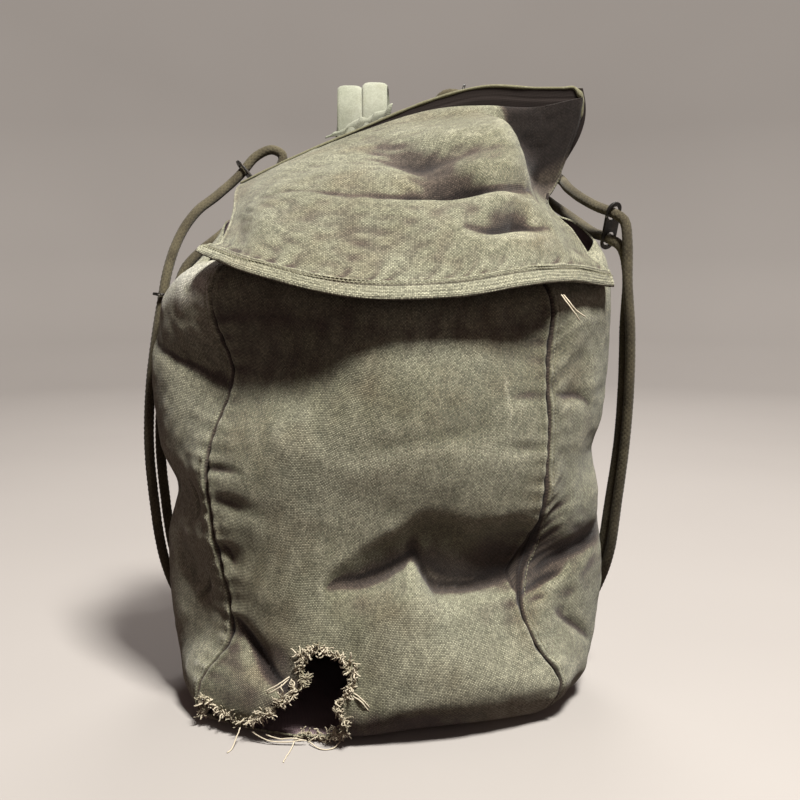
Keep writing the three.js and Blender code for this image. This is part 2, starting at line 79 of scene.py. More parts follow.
# The bag's upper edge and the soft shoulder below it
RIM_FRONT = 402
RIM_BACK = 450
RIM_TURN_Y = 25
RIM_LIFT = 13
RIM_LIFT_REACH = 0.4
RIGHT_SHOULDER = 1.62
RIGHT_SHOULDER_REACH = 0.3
RIGHT_SHOULDER_LIFT = 32
SHOULDER_RADIUS = 44
RIGHT_SHOULDER_STIFF = 0.6
SHOULDER_TURN = math.radians(72)
SHOULDER_END_Y = 60
TOP_EDGE_Y = 115

# Sections of the stuffed bag. left, right: how far the sides reach; seam_left, seam_right: where
# the front panel is sewn on; front: how far the front reaches.
SECTIONS = table("z left right seam_left seam_right front", [
    (0, -185, 188, -170, 166, -112),
    (40, -195, 197, -164, 162, -118),
    (75, -202, 206, -139, 138, -123),
    (110, -205, 209, -137, 125, -121),
    (150, -204, 208, -145, 133, -114),
    (200, -203, 205, -157, 145, -114),
    (250, -211, 206, -152, 150, -121),
    (315, -217, 210, -132, 145, -122),
    (360, -209, 212, -146, 149, -117),
    (450, -200, 209, -160, 163, -110),
])

# Roundness of the bottom edge around the bag. turn: 0 front left, 1 front right, 2 back right,
# 3 back left.
FOOT = table("turn radius", [
    (0, 26), (0.4, 34), (0.75, 54), (1, 52), (1.5, 32), (2, 26), (3, 26), (3.5, 28), (4, 26),
])

# Soft dents of the slack cloth. at: x on the front, y on a side; slope in degrees; depth is
# negative where the cloth swells. The front's dents fade between two places of y, the sides'
# between two distances from the middle.
DENT_COLUMNS = "at z slope long wide depth"
FRONT_FACE = (-70, -15)
SIDE_FACE = (95, 140)
FRONT_DENTS = table(DENT_COLUMNS, [
    (36, 122, 0, 110, 70, -8),
    (60, 45, 0, 230, 120, -13),
    (10, 268, 0, 200, 130, -7),
    (-62, 10, 0, 150, 80, -17),
    (-104, 345, 22, 150, 100, 17),
    (-72, 322, 0, 110, 110, 14),
    (118, 345, -20, 60, 80, 9),
    (131, 157, 0, 84, 54, 20),
    (-118, 34, 20, 80, 50, -6),
    (-134, 204, -10, 44, 16, 4),
    (45, 268, 8, 120, 18, 1.6),
    (121, 299, 4, 30, 10, 1.8),
    (124, 254, -8, 34, 11, 2.4),
    (-60, 118, 20, 90, 40, 4),
])
LEFT_DENTS = table(DENT_COLUMNS, [
    (5, 203, 6, 170, 48, 9),
    (-35, 128, 60, 80, 36, 8),
])
RIGHT_DENTS = table(DENT_COLUMNS, [
    (0, 235, -5, 170, 60, 8),
    (-35, 146, 12, 100, 30, 8),
])

# Sharp creases, point by point. above, below: how far each slope reaches from the crease, above and
# below it, or to the right and left of one that runs up; depth: how deep it is there. A crease and
# the upper end of a shelf are a little rounded, and the painted shade in a crease reaches over only a
# part of its lower slope.
CREASE_COLUMNS = "a b above below depth"
CREASE_ROUND = 0.01
SHELF_ROUND = 0.03
SHADED_PART = 0.25
FRONT_ARCH = table(CREASE_COLUMNS, [
    (-52, 135, 14, 10, 0), (-40, 139, 18, 10, 9), (-18, 143, 30, 10, 18), (3, 151, 34, 11, 22),
    (18, 158, 36, 11, 24), (29, 162, 40, 11, 25), (40, 151, 52, 11, 30), (52, 141, 62, 12, 34),
    (72, 136, 60, 12, 33), (90, 134, 60, 12, 32), (110, 135, 60, 12, 26), (124, 137, 56, 12, 18),
    (140, 142, 44, 12, 8),
])
FRONT_CREASES = [table(CREASE_COLUMNS, rows) for rows in (
    [(-131, 104, 8, 7, 0), (-126, 94, 9, 7, 6), (-115, 78, 13, 8, 13), (-98, 58, 13, 8, 13),
     (-87, 50, 9, 6, 7), (-78, 43, 6, 6, 0)],
    [(-143, 170, 5, 5, 0), (-137, 157, 7, 4, 6), (-129, 144, 5, 4, 0)],
    [(-152, 233, 6, 5, 3), (-138, 233, 8, 5, 4.5), (-114, 232, 6, 5, 0)],
)]

# On the sides a is the distance from the front seam.
LEFT_CREASES = [table(CREASE_COLUMNS, rows) for rows in (
    [(84, 240, 7, 7, 0), (76, 226, 7, 7, 5), (70, 212, 7, 7, 7), (73, 194, 7, 7, 0)],
    [(30, 222, 5, 4, 0), (23, 206, 5, 4, 4), (22, 192, 5, 4, 3), (28, 178, 5, 4, 0)],
    [(52, 104, 6, 10, 0), (36, 116, 6, 12, 6), (20, 132, 6, 9, 0)],
    [(0, 302, 24, 9, 6), (30, 312, 28, 10, 11), (70, 325, 28, 10, 10), (115, 340, 20, 10, 0)],
)]
RIGHT_CREASES = [table(CREASE_COLUMNS, rows) for rows in (
    [(3, 299, 7, 5, 1), (24, 294, 9, 5, 4.5), (46, 291, 9, 5, 4), (66, 281, 8, 6, 0)],
    [(4, 190, 6, 5, 1), (20, 193, 8, 5, 4), (40, 198, 7, 5, 0)],
    [(14, 139, 8, 6, 0), (44, 146, 13, 7, 7), (76, 150, 14, 7, 9), (112, 153, 10, 7, 0)],
    [(2, 119, 12, 5, 3), (24, 124, 16, 6, 8), (52, 132, 12, 6, 0)],
    [(4, 111, 6, 4, 1), (18, 112, 7, 4, 3), (36, 112, 6, 4, 0)],
    [(36, 98, 9, 8, 0), (60, 80, 11, 8, 6), (96, 52, 9, 8, 0)],
)]

# The lid, station by station across the pack. back: its sewn edge along the top of the back
# panel; hem: its free front edge; bulge: how far it swells between them; pinch: how far it is
# drawn sideways half way; below: how far under the back panel's edge it is sewn on.
LID = table("u back_x back_z hem_x hem_y hem_z bulge pinch below", [
    (0, -143, 486, -160, -62, 421, 8, 4, 2),
    (0.15, -92, 510, -106, -112, 404, 24, 0, 2),
    (0.35, -25, 538, -22, -136, 386, 34, 0, 3),
    (0.55, 42, 564, 60, -134, 386, 40, 4, 9),
    (0.72, 97, 577, 118, -116, 394, 42, 4, 18),
    (0.86, 146, 575, 160, -80, 396, 22, -12, 18),
    (1, 192, 575, 207, -26, 389, 2, -28, 9),
])
LID_BACK_Y = 110.5
LID_CLEAR = 4.5
EAR_BULGE = 15
LID_SWELL = np.array([0, -0.56, 0.83])
LID_DENTS = table(DENT_COLUMNS, [
    (0.88, 0.24, 78, 0.62, 0.2, 30),
    (0.74, 0.22, 70, 0.5, 0.16, -8),
    (0.56, 0.44, 12, 0.4, 0.12, 9),
    (0.8, 0.62, 10, 0.26, 0.12, 8),
    (0.3, 0.35, -14, 0.5, 0.14, 3),
    (0.68, 0.13, 0, 0.4, 0.3, 12),
    (0.485, 0.43, 67, 0.5, 0.12, 12),
])

# Painted shade on the lid, along its trough, in a hollow and over a broad patch, as dents are
# written: depth is how dark
LID_PAINTED_SHADE = table(DENT_COLUMNS, [
    (0.485, 0.43, 67, 0.5, 0.16, 0.75),
    (0.62, 0.5, 8, 0.3, 0.12, 0.5),
    (0.4, 0.72, 0, 1.0, 0.44, 0.4),
])

# On the lid a is measured along the hem and b up from it.
LID_SPAN = 390
LID_DROP = 300
LID_CREASES = [table(CREASE_COLUMNS, rows) for rows in (
    [(36, 140, 10, 8, 0), (55, 139, 12, 8, 1.5), (88, 137, 12, 8, 2.2), (115, 127, 14, 9, 3),
     (145, 118, 16, 9, 4), (170, 114, 18, 8, 9), (190, 116, 18, 7, 20), (207, 117, 17, 7, 28),
     (222, 117, 16, 7, 28), (240, 113, 15, 7, 21), (263, 110, 13, 7, 12), (288, 112, 11, 7, 10),
     (313, 118, 9, 7, 6), (335, 124, 8, 7, 0)],
    [(222, 67, 14, 8, 0), (244, 63, 20, 8, 10), (262, 62, 26, 7, 20), (286, 63, 27, 7, 23),
     (303, 63, 23, 7, 17), (315, 62, 16, 7, 9), (336, 65, 12, 8, 0)],
    [(318, 272, 22, 20, 0), (334, 222, 24, 18, 10), (342, 180, 22, 16, 12), (346, 140, 20, 14, 10),
     (350, 100, 16, 12, 6), (354, 66, 14, 10, 0)],
)]

# How far the upper edge leans forward, and between which stations it comes to that
EDGE_LEAN = 30
EDGE_LEAN_SPAN = (0.3, 0.9)

# How far the lid's ends are drawn sideways above the hem: how far down they are, and between which
# stations it comes to that
END_PULLS = [
    (16, (0.1, 0.88, 0.9, 0.97), (0.16, 0)),
    (-10, (0.3, 0.8, 0.84, 0.93), (0.82, 1)),
]

# The lid's upper right corner stands up flat: between which stations, and how far down
EAR_SPAN = (0.8, 0.9)
EAR_DROP = (0.4, 0.72)

# The torn hole, seen from the front: x and z around its edge.
TEAR = np.array([
    (-158, 28), (-140, 18), (-124, 15), (-110, 21), (-98, 29), (-88, 39), (-78, 44),
    (-66, 57), (-70, 68), (-68, 80), (-58, 84), (-50, 90), (-40, 83), (-29, 80),
    (-24, 66), (-26, 52), (-36, 40), (-31, 26), (-33, 9), (-52, 4), (-75, 3),
    (-105, 3), (-136, 4), (-160, 10),
], float)

# Webbing
STRAP_WIDTH = 24
STRAP_FULL = 24.8
STRAP_THICK = 2.4
STRAP_ROUTES = {
    "left": [
        (-34, 117.9, 470), (-34, 117.8, 505), (-34, 118.4, 540), (-34, 122, 566), (-34, 131, 582),
        (-34, 146, 579), (-36, 157, 545), (-48, 170, 480), (-76, 180, 390), (-104, 178, 290),
        (-124, 168, 190), (-132, 146, 100), (-134, 121, 58), (-134, 113, 42), (-134, 112.7, 28),
    ],
    "right": [
        (-9, 118.2, 470), (-9, 118.1, 505), (-9, 118.4, 540), (-9, 122, 568), (-9, 131, 585),
        (-8, 146, 581), (-4, 157, 545), (16, 170, 480), (54, 180, 390), (90, 178, 290),
        (117, 168, 190), (129, 146, 100), (133, 121, 58), (134, 113, 42), (134, 112.7, 28),
    ],
}

# Cords: each route runs from the tab up the side, through the slides, over the loop behind the
# back panel and down again.
CORD = 9.5
CORD_ROUTES = {
    "left": [
        (-187, 68, 24), (-188.5, 69.5, 44), (-199, 62, 68), (-210, 53, 96), (-217, 43, 130),
        (-222, 37, 180), (-225, 35, 235),
        (-223, 39, 290), (-217, 45, 340), (-211, 50, 376), (-206, 56, 404), (-197, 72, 434),
        (-184, 92, 457), (-166, 114, 474), (-146, 131, 494), (-130, 138, 513), (-114, 139, 520),
        (-103, 138, 514), (-107, 135, 500), (-121, 131, 487), (-134, 123.3, 470), (-147, 122, 450),
        (-162, 115, 436), (-180, 99, 420), (-195, 84, 402), (-203, 75, 376), (-209, 66, 340),
        (-215, 56, 290), (-217, 49, 235), (-214, 51, 180), (-209, 57, 130), (-202, 68, 96),
        (-193, 75, 68), (-183, 80, 44), (-181.5, 79, 24),
    ],
    "right": [
        (189, 69, 24), (191, 70.5, 44), (203, 62, 68), (214, 53, 96), (221, 40, 130),
        (225, 30, 180), (229, 19, 240),
        (230, 9, 300), (228, 2, 350), (224, -1, 392), (223, -1, 428), (220, 2, 448),
        (211, 8, 455), (199, 24, 461), (187, 50, 470), (179, 80, 480), (175, 112, 490),
        (158, 133, 504), (136, 135, 524), (116, 135, 545), (98, 135, 562), (76, 135, 574),
        (61, 136, 574), (52, 136, 563), (56, 135, 552), (70, 135, 549), (88, 130, 540),
        (104, 125, 522), (126, 127, 500), (146, 131, 484), (166, 126, 468), (180, 104, 456),
        (190, 74, 446), (199, 44, 437), (209, 20, 432), (219, 8, 424), (225, 8, 402),
        (225, 14, 350), (226, 20, 300), (225, 30, 240), (220, 42, 180), (215, 52, 130),
        (208, 65, 96), (197, 74, 68), (185.5, 80.5, 44), (183, 79, 24),
    ],
}
BRAID_SIDES = 24
BRAID_STEP = 1.2
BRAID_STRANDS = 6
BRAID_PITCH = 15
BRAID_RELIEF = 0.5

# Slides: the two places where a cord passes through each, and the way that it runs there.
SLIDE_LONG = 48
SLIDE_WIDE = 18
SLIDE_THICK = 2.5
SLIDE_HOLE = 13.4
SLIDE_PITCH = 26
SLIDE_EDGE = 0.6
SLIDES = {
    "shoulder_slide_left": ((-211, 50.4, 376), (-203, 75.4, 376), (0.12, 0.12, 1)),
    "shoulder_slide_right": ((211, 8, 455), (209, 20, 432), (-0.57, 0.71, 0.41)),
    "top_slide_left": ((-146, 131, 494), (-121, 131, 487), (0.75, 0.25, 0.6)),
    "top_slide_right": ((76, 135, 574), (70, 135, 549), (-0.94, 0, 0.33)),
}

# Keepers on the back panel and tabs at the cords' feet
KEEPER_WALL = 2
KEEPER_LONG = 10
KEEPER_STAND = 10.3
KEEPER_ROOM = 1.6
KEEPER_FOOT = 1.2
KEEPERS = {
    "left": ((-134, 123.3, 470), (-0.57, -0.15, -0.82)),
    "right": ((104, 125, 522), (0.66, -0.05, -0.75)),
}
TAB_LONG = 30
TAB_WIDE = 24
TAB_THICK = 5
TAB_STAND = 1
TABS = {"left": (3.22, 1.02), "right": (1.78, 1.02)}


# Numbers

# How many waves make up a ripple, and how much slower gathers change away from their seam than
# along it
RIPPLE_WAVES = 14
GATHER_STRETCH = 0.15


def to_frame(points):
    return (np.asarray(points, float) + SHIFT) * MM


def lerp(a, b, t):
    return a + (b - a) * t


def smoothstep(x, low, high):
    t = np.clip((x - low) / (high - low), 0, 1)
    return t * t * (3 - 2 * t)


def window(x, start, full, past, end):
    """1 between full and past, fading to 0 at the start and the end."""
    return smoothstep(x, start, full) * (1 - smoothstep(x, past, end))


def bell(x, middle, reach):
    """1 at the middle, fading to 0 on both sides of it."""
    return np.exp(-((x - middle) / reach) ** 2)


def along(columns, key, at, column):
    """A column of a table at places between its rows, joined smoothly."""
    x, y = columns[key], columns[column]
    last = len(x) - 1
    before = np.maximum(np.arange(last + 1) - 1, 0)
    after = np.minimum(np.arange(last + 1) + 1, last)
    slope = (y[after] - y[before]) / (x[after] - x[before])
    i = np.clip(np.searchsorted(x, at) - 1, 0, last - 1)
    span = x[i + 1] - x[i]
    t = np.clip((at - x[i]) / span, 0, 1)
    ease = t * t * (3 - 2 * t)
    leave = t * (1 - t) ** 2 * span * slope[i]
    arrive = t * t * (t - 1) * span * slope[i + 1]
    return lerp(y[i], y[i + 1], ease) + leave + arrive


def crown(t, power):
    """How full an arc is at t, 0 at its ends and 1 in the middle."""
    return 1 - np.abs(2 * t - 1) ** power


def dents(columns, a, b):
    """The depth of all dents of a table at (a, b)."""
    total = np.zeros(np.broadcast(a, b).shape)
    for at, z, slope, long, wide, depth in zip(*columns.values()):
        turn = math.radians(slope)
        run = ((a - at) * math.cos(turn) + (b - z) * math.sin(turn)) * 2 / long
        side = ((b - z) * math.cos(turn) - (a - at) * math.sin(turn)) * 2 / wide
        total += depth * np.exp(-run * run - side * side)
    return total


def crease(columns, a, b, shelf=False):
    """The depth of one sharp crease at (a, b), measured across the way that it mostly runs. A shelf
    slopes evenly down to the crease from above."""
    level = np.ptp(columns["a"]) > np.ptp(columns["b"])
    key, other, run, across = ("a", "b", a, b) if level else ("b", "a", b, a)
    order = np.argsort(columns[key])
    ordered = {name: column[order] for name, column in columns.items()}
    value = {name: along(ordered, key, run, name) for name in columns}
    value["depth"] = np.maximum(value["depth"], 0)
    side = across - value[other]
    reach = np.where(side > 0, value["above"], value["below"])
    depth = value["depth"] * np.exp(-np.sqrt((side / reach) ** 2 + CREASE_ROUND))
    if shelf:
        slope = 1 - side / reach
        even = value["depth"] * 0.5 * (slope + np.sqrt(slope * slope + SHELF_ROUND))
        depth = np.where(side > 0, np.minimum(even, value["depth"]), depth)
    return depth


def fold_shade(columns, a, b, shelf=False):
    """The depth of a crease, for the painted shade in it, which stays above its lower edge."""
    return crease(dict(columns, below=SHADED_PART * columns["below"]), a, b, shelf)


def fold_lip(columns, a, b):
    """1 along the lower lip of a level crease, fading to 0 across it and towards its shallow ends."""
    below = along(columns, "a", a, "b") - b
    deep = smoothstep(along(columns, "a", a, "depth"), 0, LIP_DEEP)
    return deep * bell(below, LIP_MIDDLE, LIP_REACH)


def ripple(a, b, wavelength, seed):
    """Smooth, even noise of about that wavelength, mostly between -1 and 1."""
    draw = np.random.default_rng(seed)
    total = np.zeros(np.broadcast(a, b).shape)
    for _ in range(RIPPLE_WAVES):
        angle, phase = draw.uniform(0, 2 * math.pi, 2)
        length = wavelength * draw.uniform(0.7, 1.5)
        total += np.sin(2 * math.pi * (a * math.cos(angle) + b * math.sin(angle)) / length + phase)
    return total / math.sqrt(2 * RIPPLE_WAVES)


def rumple(a, b, high, long, fine_high, fine_long, seed):
    """Broad and fine waves of slack cloth."""
    return high * ripple(a, b, long, seed) + fine_high * ripple(a, b, fine_long, seed + 1)


def pucker(run, distance, height, reach, pitch, seed):
    """Short gathers square to a seam, fading away from it."""
    return height * (ripple(run, distance * GATHER_STRETCH, pitch, seed) * np.exp(-distance / reach))


def unit(vectors):
    return vectors / np.maximum(np.linalg.norm(vectors, axis=-1, keepdims=True), 1e-12)


def grid_normals(grid):
    """Normals of a grid of points, rows upward and columns to the right as seen from outside."""
    up = np.gradient(grid, axis=0)
    across = np.gradient(grid, axis=1)
    return unit(np.cross(across, up))


def run_lengths(grid, axis):
    """How far along each row or column every point lies."""
    steps = np.linalg.norm(np.diff(grid, axis=axis), axis=-1)
    zero = np.zeros_like(np.take(steps, [0], axis=axis))
    return np.concatenate([zero, np.cumsum(steps, axis=axis)], axis=axis)


def from_edges(across):
    """How far points lie from the nearer end of their row."""
    return np.minimum(across, across[:, -1:] - across)


def at_lengths(places, run, points):
    """Points of a line at some lengths along it."""
    return np.stack([np.interp(places, run, column) for column in points.T], 1)


def curve_points(route, step):
    """Evenly spaced points of a centripetal Catmull-Rom curve through a route."""
    p = np.array(route, float)
    p = np.vstack([2 * p[0] - p[1], p, 2 * p[-1] - p[-2]])
    gap = np.linalg.norm(np.diff(p, axis=0), axis=1) ** 0.5
    t = np.linspace(0, 1, 60, endpoint=False)[:, None]
    ease = t * t * (3 - 2 * t)
    dense = []
    for k in range(1, len(p) - 2):
        before, here, after = gap[k - 1:k + 2]
        step_in, chord, step_out = p[k] - p[k - 1], p[k + 1] - p[k], p[k + 2] - p[k + 1]
        leave = chord + here * (step_in / before - (p[k + 1] - p[k - 1]) / (before + here))
        arrive = chord + here * (step_out / after - (p[k + 2] - p[k]) / (here + after))
        dense.append(p[k] + chord * ease + leave * t * (1 - t) ** 2 + arrive * t * t * (t - 1))
    dense = np.vstack(dense + [p[-2][None]])
    run = np.concatenate([[0], np.cumsum(np.linalg.norm(np.diff(dense, axis=0), axis=1))])
    places = np.linspace(0, run[-1], max(round(run[-1] / step), 2) + 1)
    return at_lengths(places, run, dense)


# The bag's surfaces

def section(turn, z):
    """The bag's outline in plan: turn runs once around in four arcs, from the front left seam."""
    arc = np.minimum(np.floor(turn), 3)
    t = turn - arc
    row = {name: along(SECTIONS, "z", z, name) for name in SECTIONS}
    seam_left, seam_right = row["seam_left"], row["seam_right"]
    hump = np.sin(math.pi * t)
    swell_right = row["right"] - (seam_right + BACK_SEAM_X) / 2
    swell_left = row["left"] - (seam_left - BACK_SEAM_X) / 2
    x = np.select([arc == 0, arc == 1, arc == 2], [
        lerp(seam_left, seam_right, t),
        lerp(seam_right, BACK_SEAM_X, t) + swell_right * hump,
        lerp(BACK_SEAM_X, -BACK_SEAM_X, t),
    ], lerp(-BACK_SEAM_X, seam_left, t) + swell_left * hump)
    y = np.select([arc == 0, arc == 1, arc == 2], [
        FRONT_SEAM_Y + (row["front"] - FRONT_SEAM_Y) * crown(t, FRONT_FULLNESS),
        lerp(FRONT_SEAM_Y, BACK_SEAM_Y, t),
        BACK_SEAM_Y + BACK_BULGE * crown(t, 2),
    ], lerp(BACK_SEAM_Y, FRONT_SEAM_Y, t))
    return np.stack([x, y, z + 0 * x], -1)


def sink(points):
    """Sinks points of the bag by the soft dents of the face that they lie on."""
    x, y, z = np.moveaxis(points, -1, 0)
    on_front = 1 - smoothstep(y, *FRONT_FACE)
    on_side = smoothstep(np.abs(x), *SIDE_FACE)
    side = np.where(x < 0, dents(LEFT_DENTS, y, z), dents(RIGHT_DENTS, y, z))
    return np.stack([x - np.sign(x) * on_side * side, y + on_front * dents(FRONT_DENTS, x, z), z], -1)


def wall(turn_around, rise):
    """Points of the bag's outer face. rise: 0 to 1 around the bottom edge, 1 to 2 up the wall, 2 to
    3 over the shoulder to the rim."""
    turn = np.mod(turn_around, 4)
    foot = along(FOOT, "turn", turn, "radius")
    plan_y = section(turn, RIM_FRONT + 0 * turn)[..., 1]
    rim = lerp(RIM_FRONT, RIM_BACK, smoothstep(plan_y, RIM_TURN_Y, BACK_SEAM_Y))
    from_corner = np.minimum(turn, 4 - turn)
    rim = rim + RIM_LIFT * bell(from_corner, 0, RIM_LIFT_REACH)
    upright = bell(turn, RIGHT_SHOULDER, RIGHT_SHOULDER_REACH)
    rim = rim + RIGHT_SHOULDER_LIFT * upright
    bend = 1 - smoothstep(plan_y, SHOULDER_END_Y, BACK_SEAM_Y)
    bend = bend * (1 - RIGHT_SHOULDER_STIFF * upright)
    shoulder = rim - SHOULDER_RADIUS * math.sin(SHOULDER_TURN)
    low = np.clip(rise, 0, 1) * math.pi / 2
    high = np.clip(rise - 2, 0, 1) * SHOULDER_TURN
    z = lerp(foot, shoulder, rise - 1)
    z = np.where(rise < 1, foot * (1 - np.cos(low)), z)
    z = np.where(rise > 2, shoulder + SHOULDER_RADIUS * np.sin(high), z)
    inset = np.where(rise < 1, foot * (1 - np.sin(low)), 0)
    inset = np.where(rise > 2, bend * SHOULDER_RADIUS * (1 - np.cos(high)), inset)
    points = section(turn, z)
    out = points - np.array([0, AXIS_Y, 0])
    out[..., 2] = 0
    return sink(points - unit(out) * inset[..., None])


def base_points(s, r):
    """The base as a patch between the lower edges of the four panels. s: left to right, r: front to
    back."""
    zero = 0 * s
    front, back, left, right = wall(s, zero), wall(3 - s, zero), wall(4 - r, zero), wall(1 + r, zero)
    corner = [wall(np.full_like(s, turn), zero) for turn in (0, 1, 2, 3)]
    s, r = s[..., None], r[..., None]
    points = front * (1 - r) + back * r + left * (1 - s) + right * s
    points -= corner[0] * (1 - s) * (1 - r) + corner[1] * s * (1 - r)
    points -= corner[3] * (1 - s) * r + corner[2] * s * r
    points[..., 2] = 0
    return points


def lid_points(u, v):
    """Points of the lid. u: left to right, v: from its sewn edge to its hem."""
    row = {name: along(LID, "u", u, name) for name in LID}
    sewn_z = row["back_z"] - row["below"]
    back = np.stack([row["back_x"], LID_BACK_Y + 0 * u, sewn_z], -1)
    hem = np.stack([row["hem_x"], row["hem_y"], row["hem_z"]], -1)
    points = lerp(back, hem, v[..., None])
    freely = smoothstep(v, 0, 0.1)
    rise = row["bulge"] * np.sin(math.pi * v ** 0.9) - freely * dents(LID_DENTS, u, v)
    points = points + rise[..., None] * LID_SWELL
    points[..., 0] += row["pinch"] * np.sin(math.pi * v) ** 2
    for pull, down, span in END_PULLS:
        points[..., 0] += pull * window(v, *down) * smoothstep(u, *span)
    lean = LID_BACK_Y + LID_CLEAR - back_y(u, sewn_z)
    points[..., 1] -= lean * (1 - smoothstep(v, 0, 0.2))
    ear = lid_ear(u, v)
    points[..., 1] = lerp(points[..., 1], back_y(u, points[..., 2]) - LID_CLEAR, ear)
    height = np.clip((points[..., 2] - RIM_BACK) / (LID["back_z"][-1] - RIM_BACK), 0, 1)
    edge_x = lerp(BACK_SEAM_X, LID["back_x"][-1], height) + ear_bulge(height)
    points[..., 0] = lerp(points[..., 0], np.minimum(points[..., 0], edge_x), ear)
    return points


def edge_lean(u):
    """How far the upper edge of the back panel leans forward over the lid."""
    return EDGE_LEAN * smoothstep(u, *EDGE_LEAN_SPAN)


def back_y(u, z):
    """How far back the outer face of the back panel lies above the rim."""
    rim = BACK_SEAM_Y + BACK_BULGE * crown(1 - u, 2)
    height = np.clip((z - RIM_BACK) / (along(LID, "u", u, "back_z") - RIM_BACK), 0, 1)
    return lerp(rim, TOP_EDGE_Y - edge_lean(u), height)


def ear_bulge(height):
    """How far the back panel's right edge swells out above the rim, from 0 there to 1 at the top."""
    return EAR_BULGE * np.sin(math.pi * height ** 1.6)


def lid_ear(u, v):
    """Where the lid's upper corner stands up flat against the back panel."""
    return smoothstep(u, *EAR_SPAN) * (1 - smoothstep(v, *EAR_DROP))


# Meshes

# Stitches: how far apart, how long and how thick, and how far their points stand off the cloth
STITCH_PITCH = 3.6
STITCH_LONG = 2.7
STITCH_RADIUS = 0.42
STITCH_RISE = 0.35 * np.array([-1.2, 0.7, 1, 0.7, -1.2])

# Pale wear where cloth stands proud, painted shade in its folds: how many points away the cloth
# around a point is taken, and how proud is fully pale
PROUD_REACH = 3
PROUD_SCALE = 0.9

# A way across a thread, and another one for threads that start off steeply
HINT = (0.3, 0.5, 0.81)
STEEP_HINT = (0.9, 0.3, 0.3)
STEEP = 0.8


def spaced(*stretches):
    """Places along a stretch: (end, step) for each part of it, from 0 on."""
    places = [0.0]
    for end, step in stretches:
        count = max(round((end - places[-1]) / step), 1)
        places.extend(np.linspace(places[-1], end, count + 1)[1:])
    return np.array(places)


def seam_spaced(length, fine, step, band):
    """Places from 0 to 1 along a cloth, closer together within a band at both ends."""
    return spaced((band, fine), (length - band, step), (length, fine)) / length


def grid_faces(rows, columns):
    corner = np.arange(rows * columns).reshape(rows, columns)
    quads = np.stack([corner[:-1, :-1], corner[:-1, 1:], corner[1:, 1:], corner[1:, :-1]], -1)
    return quads.reshape(-1, 4)


def ring_faces(rows, columns):
    """Faces of a closed tube, its two ends closed too."""
    corner = np.arange(rows * columns).reshape(rows, columns)
    after = np.roll(corner, -1, axis=1)
    quads = np.stack([corner[:-1], after[:-1], after[1:], corner[1:]], -1).reshape(-1, 4)
    return quads.tolist() + [corner[0, ::-1].tolist(), corner[-1].tolist()]


def link(name, data):
    """A new object of the scene."""
    made = bpy.data.objects.new(name, data)
    bpy.context.scene.collection.objects.link(made)
    return made


def smooth_mesh(name, points, faces, material):
    """A smooth mesh from lists of points, in metres, and faces."""
    mesh = bpy.data.meshes.new(name)
    mesh.from_pydata(points, [], faces)
    mesh.polygons.foreach_set("use_smooth", np.ones(len(mesh.polygons), bool))
    mesh.materials.append(material)
    mesh.update()
    return mesh


def new_piece(name, points, faces, material):
    """A mesh object in the frame, from points in millimetres, that rides on the pack."""
    piece = link(name, smooth_mesh(name, to_frame(points).tolist(), faces, material))
    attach(piece, BODY)
    return piece


def grid_piece(name, grid, material, uv=None, closed=False):
    """A piece from a grid of points, its rows closed into rings where that is asked for."""
    faces = ring_faces(*grid.shape[:2]) if closed else grid_faces(*grid.shape[:2]).tolist()
    piece = new_piece(name, grid.reshape(-1, 3), faces, material)
    if uv is not None:
        add_uv(piece, uv.reshape(-1, 2))
    return piece


def add_uv(piece, uv):
    """Lays UVs, in metres of cloth, over a mesh from one pair of numbers for each vertex."""
    mesh = piece.data
    corner = np.zeros(len(mesh.loops), np.int32)
    mesh.loops.foreach_get("vertex_index", corner)
    layer = mesh.uv_layers.new(name="cloth")
    layer.data.foreach_set("uv", (np.asarray(uv) * MM)[corner].astype(np.float32).ravel())


def add_value(piece, name, values):
    """Stores one number for each vertex."""
    attribute = piece.data.attributes.new(name, "FLOAT", "POINT")
    attribute.data.foreach_set("value", np.asarray(values, np.float32).ravel())


def proud_or_folded(grid, normals):
    """Where the cloth stands proud (up to 1) and where it lies in folds (down to -1)."""
    reach = PROUD_REACH
    padded = np.pad(grid, ((reach, reach), (reach, reach), (0, 0)), mode="edge")
    rows, columns = grid.shape[:2]
    around = np.zeros_like(grid)
    for j, i in ((0, reach), (2 * reach, reach), (reach, 0), (reach, 2 * reach)):
        around += padded[j:j + rows, i:i + columns] / 4
    return np.clip(np.sum((grid - around) * normals, -1) / PROUD_SCALE, -1, 1)


def thicken(piece, thickness, inside=None, offset=-1):
    """Gives a cloth its thickness, inward unless offset says otherwise, with another look on the
    inside if there is one."""
    modifier = piece.modifiers.new("thickness", "SOLIDIFY")
    modifier.thickness = thickness * MM
    modifier.offset = offset
    if inside is not None:
        piece.data.materials.append(inside)
        modifier.material_offset = 1


def cloth_piece(name, grid, uv, keep, paleness=0, inside=None):
    """A cloth from a grid of points. keep: which faces stay, None for all of them; the argument after
    it: how much paler the cloth is made at each point, darker below 0, by wear and by painted light
    and painted shade."""
    rows, columns = grid.shape[:2]
    faces = grid_faces(rows, columns)
    if keep is not None:
        faces = faces[keep]
    used = np.unique(faces)
    index = np.full(rows * columns, -1)
    index[used] = np.arange(len(used))
    normals = grid_normals(grid)
    points = grid.reshape(-1, 3)[used]
    piece = new_piece(name, points, index[faces].tolist(), CANVAS_LOOK)
    add_uv(piece, uv.reshape(-1, 2)[used])
    # Stored per point: pale wear where the cloth stands proud, painted shade in its folds, and the
    # painted light and shade given for the piece.
    add_value(piece, "wear_and_light", (proud_or_folded(grid, normals) + paleness).reshape(-1)[used])
    thicken(piece, CANVAS, inside or SHADED_INSIDE_LOOK)
    return piece


def circle(sides):
    """Angles around a circle."""
    return 2 * math.pi * np.arange(sides) / sides


def rings(path, first, second, angle, radius):
    """Rings of points around a path, from two ways across it."""
    ring = first[:, None] * np.cos(angle)[:, None] + second[:, None] * np.sin(angle)[:, None]
    return path[:, None] + ring * radius


